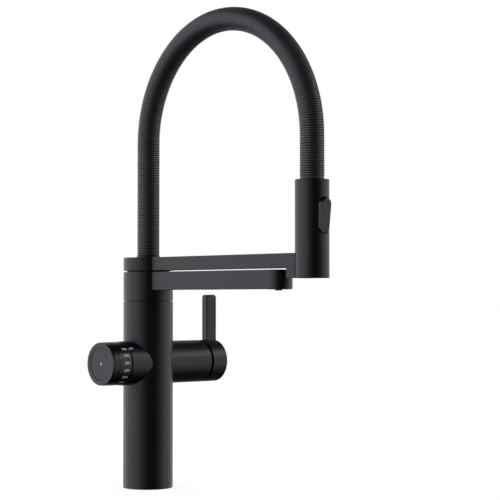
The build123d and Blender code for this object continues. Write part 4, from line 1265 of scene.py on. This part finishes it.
@dataclass
class Hose:
    """The ribbed sleeve over the arch, the water hose in it, its ferrule and collar."""

    ribs: int = 230
    rings: int = 6
    round_points: int = 56
    rib_depth: float = 0.62 * MM
    water_ribs: tuple[int, int, int] = (60, 2, 40)
    water_wall: float = 2 * MM
    bore_play: float = 1 * MM
    sharp_angle: float = 60.0
    ferrule_edge: float = 0.25 * MM
    collar_edge: float = 0.3 * MM
    sleeve: Extent = box_field("hose_sleeve")
    leg: Extent = box_field("hose_sleeve_end")

    def route(self) -> bpy.types.Curve:
        """The hose's centre line: a rise, two quarter turns and a short straight end."""
        radius = self.sleeve.high.y
        reach = self.leg.centre.y
        top = self.sleeve.high.z - radius
        front = self.leg.high.z
        front_turn = top - front
        back_turn = -reach - front_turn
        pull = 4 / 3 * math.tan(math.pi / 8)
        up, away = Vector((0, 0, 1)), Vector((0, -1, 0))
        foot = Vector((0, 0, self.sleeve.low.z))
        rise = Vector((0, 0, top - back_turn))
        crown = Vector((0, -back_turn, top))
        fall = Vector((0, reach, front))
        end = Vector((0, reach, self.leg.low.z))
        stations = (
            (foot, foot - up * MM, foot.lerp(rise, 1 / 3)),
            (rise, foot.lerp(rise, 2 / 3), rise + up * back_turn * pull),
            (crown, crown - away * back_turn * pull, crown + away * front_turn * pull),
            (fall, fall + up * front_turn * pull, fall.lerp(end, 1 / 3)),
            (end, fall.lerp(end, 2 / 3), end - up * MM),
        )
        curve = bpy.data.curves.new("hose_route", "CURVE")
        curve.dimensions = "3D"
        curve.resolution_u = 64
        spline = curve.splines.new("BEZIER")
        spline.bezier_points.add(len(stations) - 1)
        for point, (place, before, after) in zip(spline.bezier_points, stations):
            point.handle_left_type = point.handle_right_type = "FREE"
            point.co, point.handle_left, point.handle_right = place, before, after
        return curve

    def tube(self, name: str, sizes: dict, finish: Finish) -> bpy.types.Object:
        """One tube along the route, its ends closed by rims.

        Args:
            name: The piece's name.
            sizes: The tree's sizes.
            finish: What it is made of.

        Returns:
            The tube, which bends between the holder and the hand spray.
        """
        made = Solid(name, self.route())
        sleeve_rig().run(made, Material=finish.material(), **sizes)
        middle = self.leg.centre.y / 2
        with editing(made.item.data) as work:
            rims = [edge for edge in work.edges if edge.is_boundary]
            for side in (1, -1):
                ends = [e for e in rims if (e.verts[0].co.y - middle) * side > 0]
                bmesh.ops.bridge_loops(work, edges=ends)
            bmesh.ops.recalc_face_normals(work, faces=work.faces)
        made.smooth(self.sharp_angle)
        made.item.data.materials.clear()
        made.item.data.materials.append(finish.material())
        return made.item

    def dress(self) -> None:
        """Finish the hose and what holds its ends."""
        width = Extent.of("water_hose_end").size.x / 2
        ribs = (self.ribs, self.rings, self.round_points)
        outer = (*ribs, self.sleeve.high.x, self.rib_depth, width + self.bore_play)
        inner = (*self.water_ribs, width, 0.0, width - self.water_wall)
        inputs = ("Ribs", "Rings_per_rib", "Round", "Radius", "Rib_depth", "Bore")
        for name, node, finish, sizes in (
            ("ribbed_hose", "hose_sleeve", HOSE, outer),
            ("inner_water_hose", "water_hose", WATER_HOSE, inner),
        ):
            piece = self.tube(name, dict(zip(inputs, sizes)), finish)
            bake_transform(piece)
            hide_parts(node, f"{node}_end")
            report(piece)
        refine(Body.HOLDER, LACQUER, "hose_foot", "hose_ferrule", self.ferrule_edge)
        refine(Body.SPRAY, DARK, "hose_ring", "hose_collar", self.collar_edge)


@dataclass
class HandSpray:
    """The hand spray: shell, rocker button, face and soft nozzles."""

    edge: float = 0.9 * MM
    wall: float = 1.7 * MM
    roof: float = 3.0 * MM
    opening_half_w: float = 6.9 * MM
    opening_gap: float = 0.8 * MM
    throat: float = 7.9 * MM
    button_edge: float = 0.35 * MM
    face_edge: float = 0.12 * MM
    nozzle_counts: tuple[int, int] = (14, 10)
    nozzle_rows: float = 3.3 * MM
    nozzle_lip: float = 0.9 * MM
    nozzle_tip: float = 0.62 * MM
    nozzle_bore: float = 0.38 * MM
    nozzle_taper: float = 0.7 * MM
    box: Extent = box_field("spray_shell")

    def shell(self) -> Solid:
        """The shell with its round-ended opening for the button."""
        radius, low, high = self.box.size.x / 2, self.box.low.z, self.box.high.z
        origin = Vector((0, self.box.centre.y, 0))
        made = Solid.lathe("spray_body", rectangle(0.0, radius, low, high), origin=origin)
        made.soften(self.edge, 4)
        button = Extent.of("spray_button")
        middle = (button.low.z + button.high.z) / 2
        w = self.opening_half_w
        rise = button.size.z / 2 + self.opening_gap - w
        pill = arc((0.0, rise), w, 0.0, 180.0, 28) + arc((0.0, -rise), w, 180.0, 360.0, 28)
        at = self.box.centre.y
        place = Matrix(((1, 0, 0, 0), (0, 0, -1, at), (0, 1, 0, middle), (0, 0, 0, 1)))
        made.cut(
            Solid.rod(radius - self.wall, low - MM, high - self.roof, origin),
            Solid.rod(self.throat + FIT, low, high + MM, origin),
            Solid.slab("work", pill, 0.0, radius + MM, place),
        )
        return made.smooth()

    def nozzles(self) -> Solid:
        """Two rings of soft nozzles with round lips."""
        box = Extent.of("spray_nozzles")
        lip, bore, low, high = self.nozzle_lip, self.nozzle_bore, box.low.z, box.high.z
        profile = [(bore, low), (self.nozzle_tip, low), (lip, low + self.nozzle_taper)]
        profile += [(lip, high), (bore, high)]
        radius = box.size.x / 2 - lip
        rings = []
        for count, place in zip(self.nozzle_counts, (radius, radius - self.nozzle_rows)):
            one = Solid.lathe("work", profile, steps=20).smooth()
            polar_rig().run(one, Count=count, Radius=place, Material=SOFT_NOZZLE.material())
            rings.append(one)
        first, second = rings
        with editing(first.item.data) as work:
            work.from_mesh(second.item.data)
            at = Extent.of("spray_face").centre.y
            bmesh.ops.translate(work, verts=work.verts, vec=(0, at, 0))
        bpy.data.objects.remove(second.item)
        first.item.name = "soft_nozzles"
        return first

    def dress(self) -> None:
        """Finish the hand spray."""
        self.shell().dress(Body.SPRAY, LACQUER, "spray_shell")
        refine(Body.ROCKER, LACQUER, "mode_button", "spray_button", self.button_edge)
        self.nozzles().dress(Body.SPRAY, SOFT_NOZZLE, "spray_nozzles")
        refine(Body.SPRAY, DARK, "spray_plate", "spray_face", self.face_edge, 2)
        refine(Body.SPRAY, DARK, "aerator_insert", "aerator", self.face_edge, 2)


@dataclass
class InnerParts:
    """The CAD nodes that keep their shapes, dressed by the slots they were given."""

    own: dict[str, Finish] = field(
        default_factory=lambda: {"spout_cover": LACQUER, "holder_cover": LACQUER}
    )

    def dress(self) -> None:
        """Give every node that still shows its slot's finish."""
        for name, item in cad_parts.items():
            if item.hide_render:
                continue
            given = item.material_slots[0].material.name.split(".")[0]
            slot = Slot(given)
            item.material_slots[0].material = self.own.get(name, SLOT_FINISH[slot]).material()
            report(item)


@dataclass
class Studio:
    """The camera, the pale floor and the soft light."""

    eye: Vector = field(default_factory=lambda: Vector((-1.0036, -1.2285, 0.1884)))
    aim: Vector = field(default_factory=lambda: Vector((-0.02261, -0.175, 0.2339)))
    lens: float = 112.84
    sensor: float = 36.0
    clip: Pair = (0.05, 60.0)
    floor_half: float = 12.0
    floor_grey: float = 0.25
    floor_tone: float = 0.99
    floor_grain: float = 40 * MM
    floor_lift: float = 0.85
    ambient: float = 0.03
    dark_turn: float = 143.0
    darkness: float = 0.95
    left_light: float = 1.30
    far_left_light: float = 0.02
    right_light: float = 1.12
    diffuse_light: float = 0.55
    diffuse_share: float = 0.3
    ceiling: Pair = (0.8, 0.4)
    ground: Pair = (-0.75, -0.15)
    wall: Pair = (-5.0, 70.0)
    far_wall: Pair = (60.0, 115.0)
    soft_box: Pair = (40.0, 100.0)
    dark_across: Pair = (0.60, 0.82)
    dark_height: Pair = (0.05, 0.40)
    light_tint: Colour = (0.965, 1.0, 1.065)
    lamp_power: float = 3.0
    lamp_size: Pair = (0.9, 0.7)
    lamp_place: Vector = field(default_factory=lambda: Vector((1.5, -1.1, 1.2)))
    lamp_aim: Vector = field(default_factory=lambda: Vector((0, -0.1, 0.2)))

    def camera(self) -> None:
        """Set the camera at the photograph's viewing angle."""
        data = bpy.data.cameras.new("camera")
        data.lens = self.lens
        data.sensor_width = self.sensor
        data.clip_start, data.clip_end = self.clip
        item = add("camera", data)
        self.point(item, self.eye, self.aim)
        bpy.context.scene.camera = item

    def point(self, item: bpy.types.Object, place: Vector, aim: Vector) -> None:
        """Put a camera or lamp at a place and turn it to another.

        Args:
            item: The camera or lamp.
            place: Where it goes.
            aim: What it faces.
        """
        item.location = place
        item.rotation_mode = "QUATERNION"
        item.rotation_quaternion = (aim - place).to_track_quat("-Z", "Y")

    def floor(self) -> None:
        """Lay a pale floor that keeps the shadow and looks white to the camera."""
        h = self.floor_half
        mesh = bpy.data.meshes.new("floor")
        mesh.from_pydata([(*p, 0) for p in rectangle(-h, h, -h, h)], [], [(0, 1, 2, 3)])
        item = add("floor", mesh)
        shader = Shader("floor_paint")
        grain = shader.noise(self.floor_grain)
        white = (self.floor_grey,) * 3
        shader.set(
            Base_Color=shader.blend(grain, shade(white, self.floor_tone), white),
            Roughness=0.9,
            Specular_IOR_Level=0.1,
            Emission_Color=(1.0, 1.0, 1.0, 1.0),
        )
        path = shader.node("ShaderNodeLightPath")
        seen = Value(shader, path.outputs["Is Camera Ray"])
        shader.set(Emission_Strength=seen * self.floor_lift)
        shader.veil(Value(shader, path.outputs["Is Glossy Ray"]))
        mesh.materials.append(shader.material)

    def world(self) -> None:
        """Light from a studio: a soft wall on the left, a soft box on the right, dark behind."""
        world = bpy.data.worlds.new("studio")
        world.use_nodes = True
        bpy.context.scene.world = world
        graph = Graph(world.node_tree)
        graph.tree.nodes.clear()
        where = graph.node("ShaderNodeTexCoord")
        parts = graph.node("ShaderNodeSeparateXYZ", inputs={0: where.outputs["Generated"]})
        x, y, z = (Value(graph, parts.outputs[i]) for i in range(3))
        back = (self.eye - self.aim).xy.normalized()
        towards = x * back.x + y * back.y
        right = x * -back.y + y * back.x
        turn = right.angle_to(towards) * (180 / math.pi)
        away = math.radians(self.dark_turn)
        behind = right * math.sin(away) + towards * math.cos(away)
        dark = behind.ramp(*self.dark_across) * abs(z).ramp(*self.dark_height) * self.darkness
        level = z.ramp(*self.ceiling) * z.ramp(*self.ground) * (1 - dark)
        left = turn * -1
        wall = left.ramp(*self.wall, 0.0, self.left_light)
        far_wall = left.ramp(*self.far_wall, 0.0, self.far_left_light)
        box = turn.ramp(*self.soft_box, 0.0, self.right_light)
        glow = self.ambient + (wall + far_wall + box) * level
        path = graph.node("ShaderNodeLightPath")
        seen = Value(graph, path.outputs["Is Camera Ray"])
        soft = Value(graph, path.outputs["Is Diffuse Ray"])
        lit = glow * (1 - soft) + soft * (self.diffuse_light + glow * self.diffuse_share)
        strength = lit * (1 - seen) + seen
        colour = graph.blend(seen, self.light_tint, (1.0, 1.0, 1.0))
        shown = graph.node("ShaderNodeBackground", inputs={"Color": colour, "Strength": strength})
        graph.node("ShaderNodeOutputWorld", inputs={"Surface": shown.outputs[0]})

    def lamp(self) -> None:
        """Hang the soft lamp high on the right."""
        data = bpy.data.lights.new("high_right", "AREA")
        data.shape = "RECTANGLE"
        data.size, data.size_y = self.lamp_size
        data.energy = self.lamp_power
        self.point(add("high_right", data), self.lamp_place, self.lamp_aim)

    def build(self) -> None:
        """Set up the whole studio."""
        self.camera()
        self.floor()
        self.world()
        self.lamp()
        bpy.context.scene.view_settings.view_transform = "Standard"


def main() -> None:
    """Build the studio and every sub-assembly."""
    logging.basicConfig(level=logging.INFO, format="%(name)s %(message)s", stream=sys.stdout)
    Studio().build()
    for assembly in (Column(), Mixer(), Dial(), Arms(), Hose(), HandSpray(), InnerParts()):
        assembly.dress()
        log.info("%s is dressed", type(assembly).__name__)


if __name__ == "__main__":
    main()
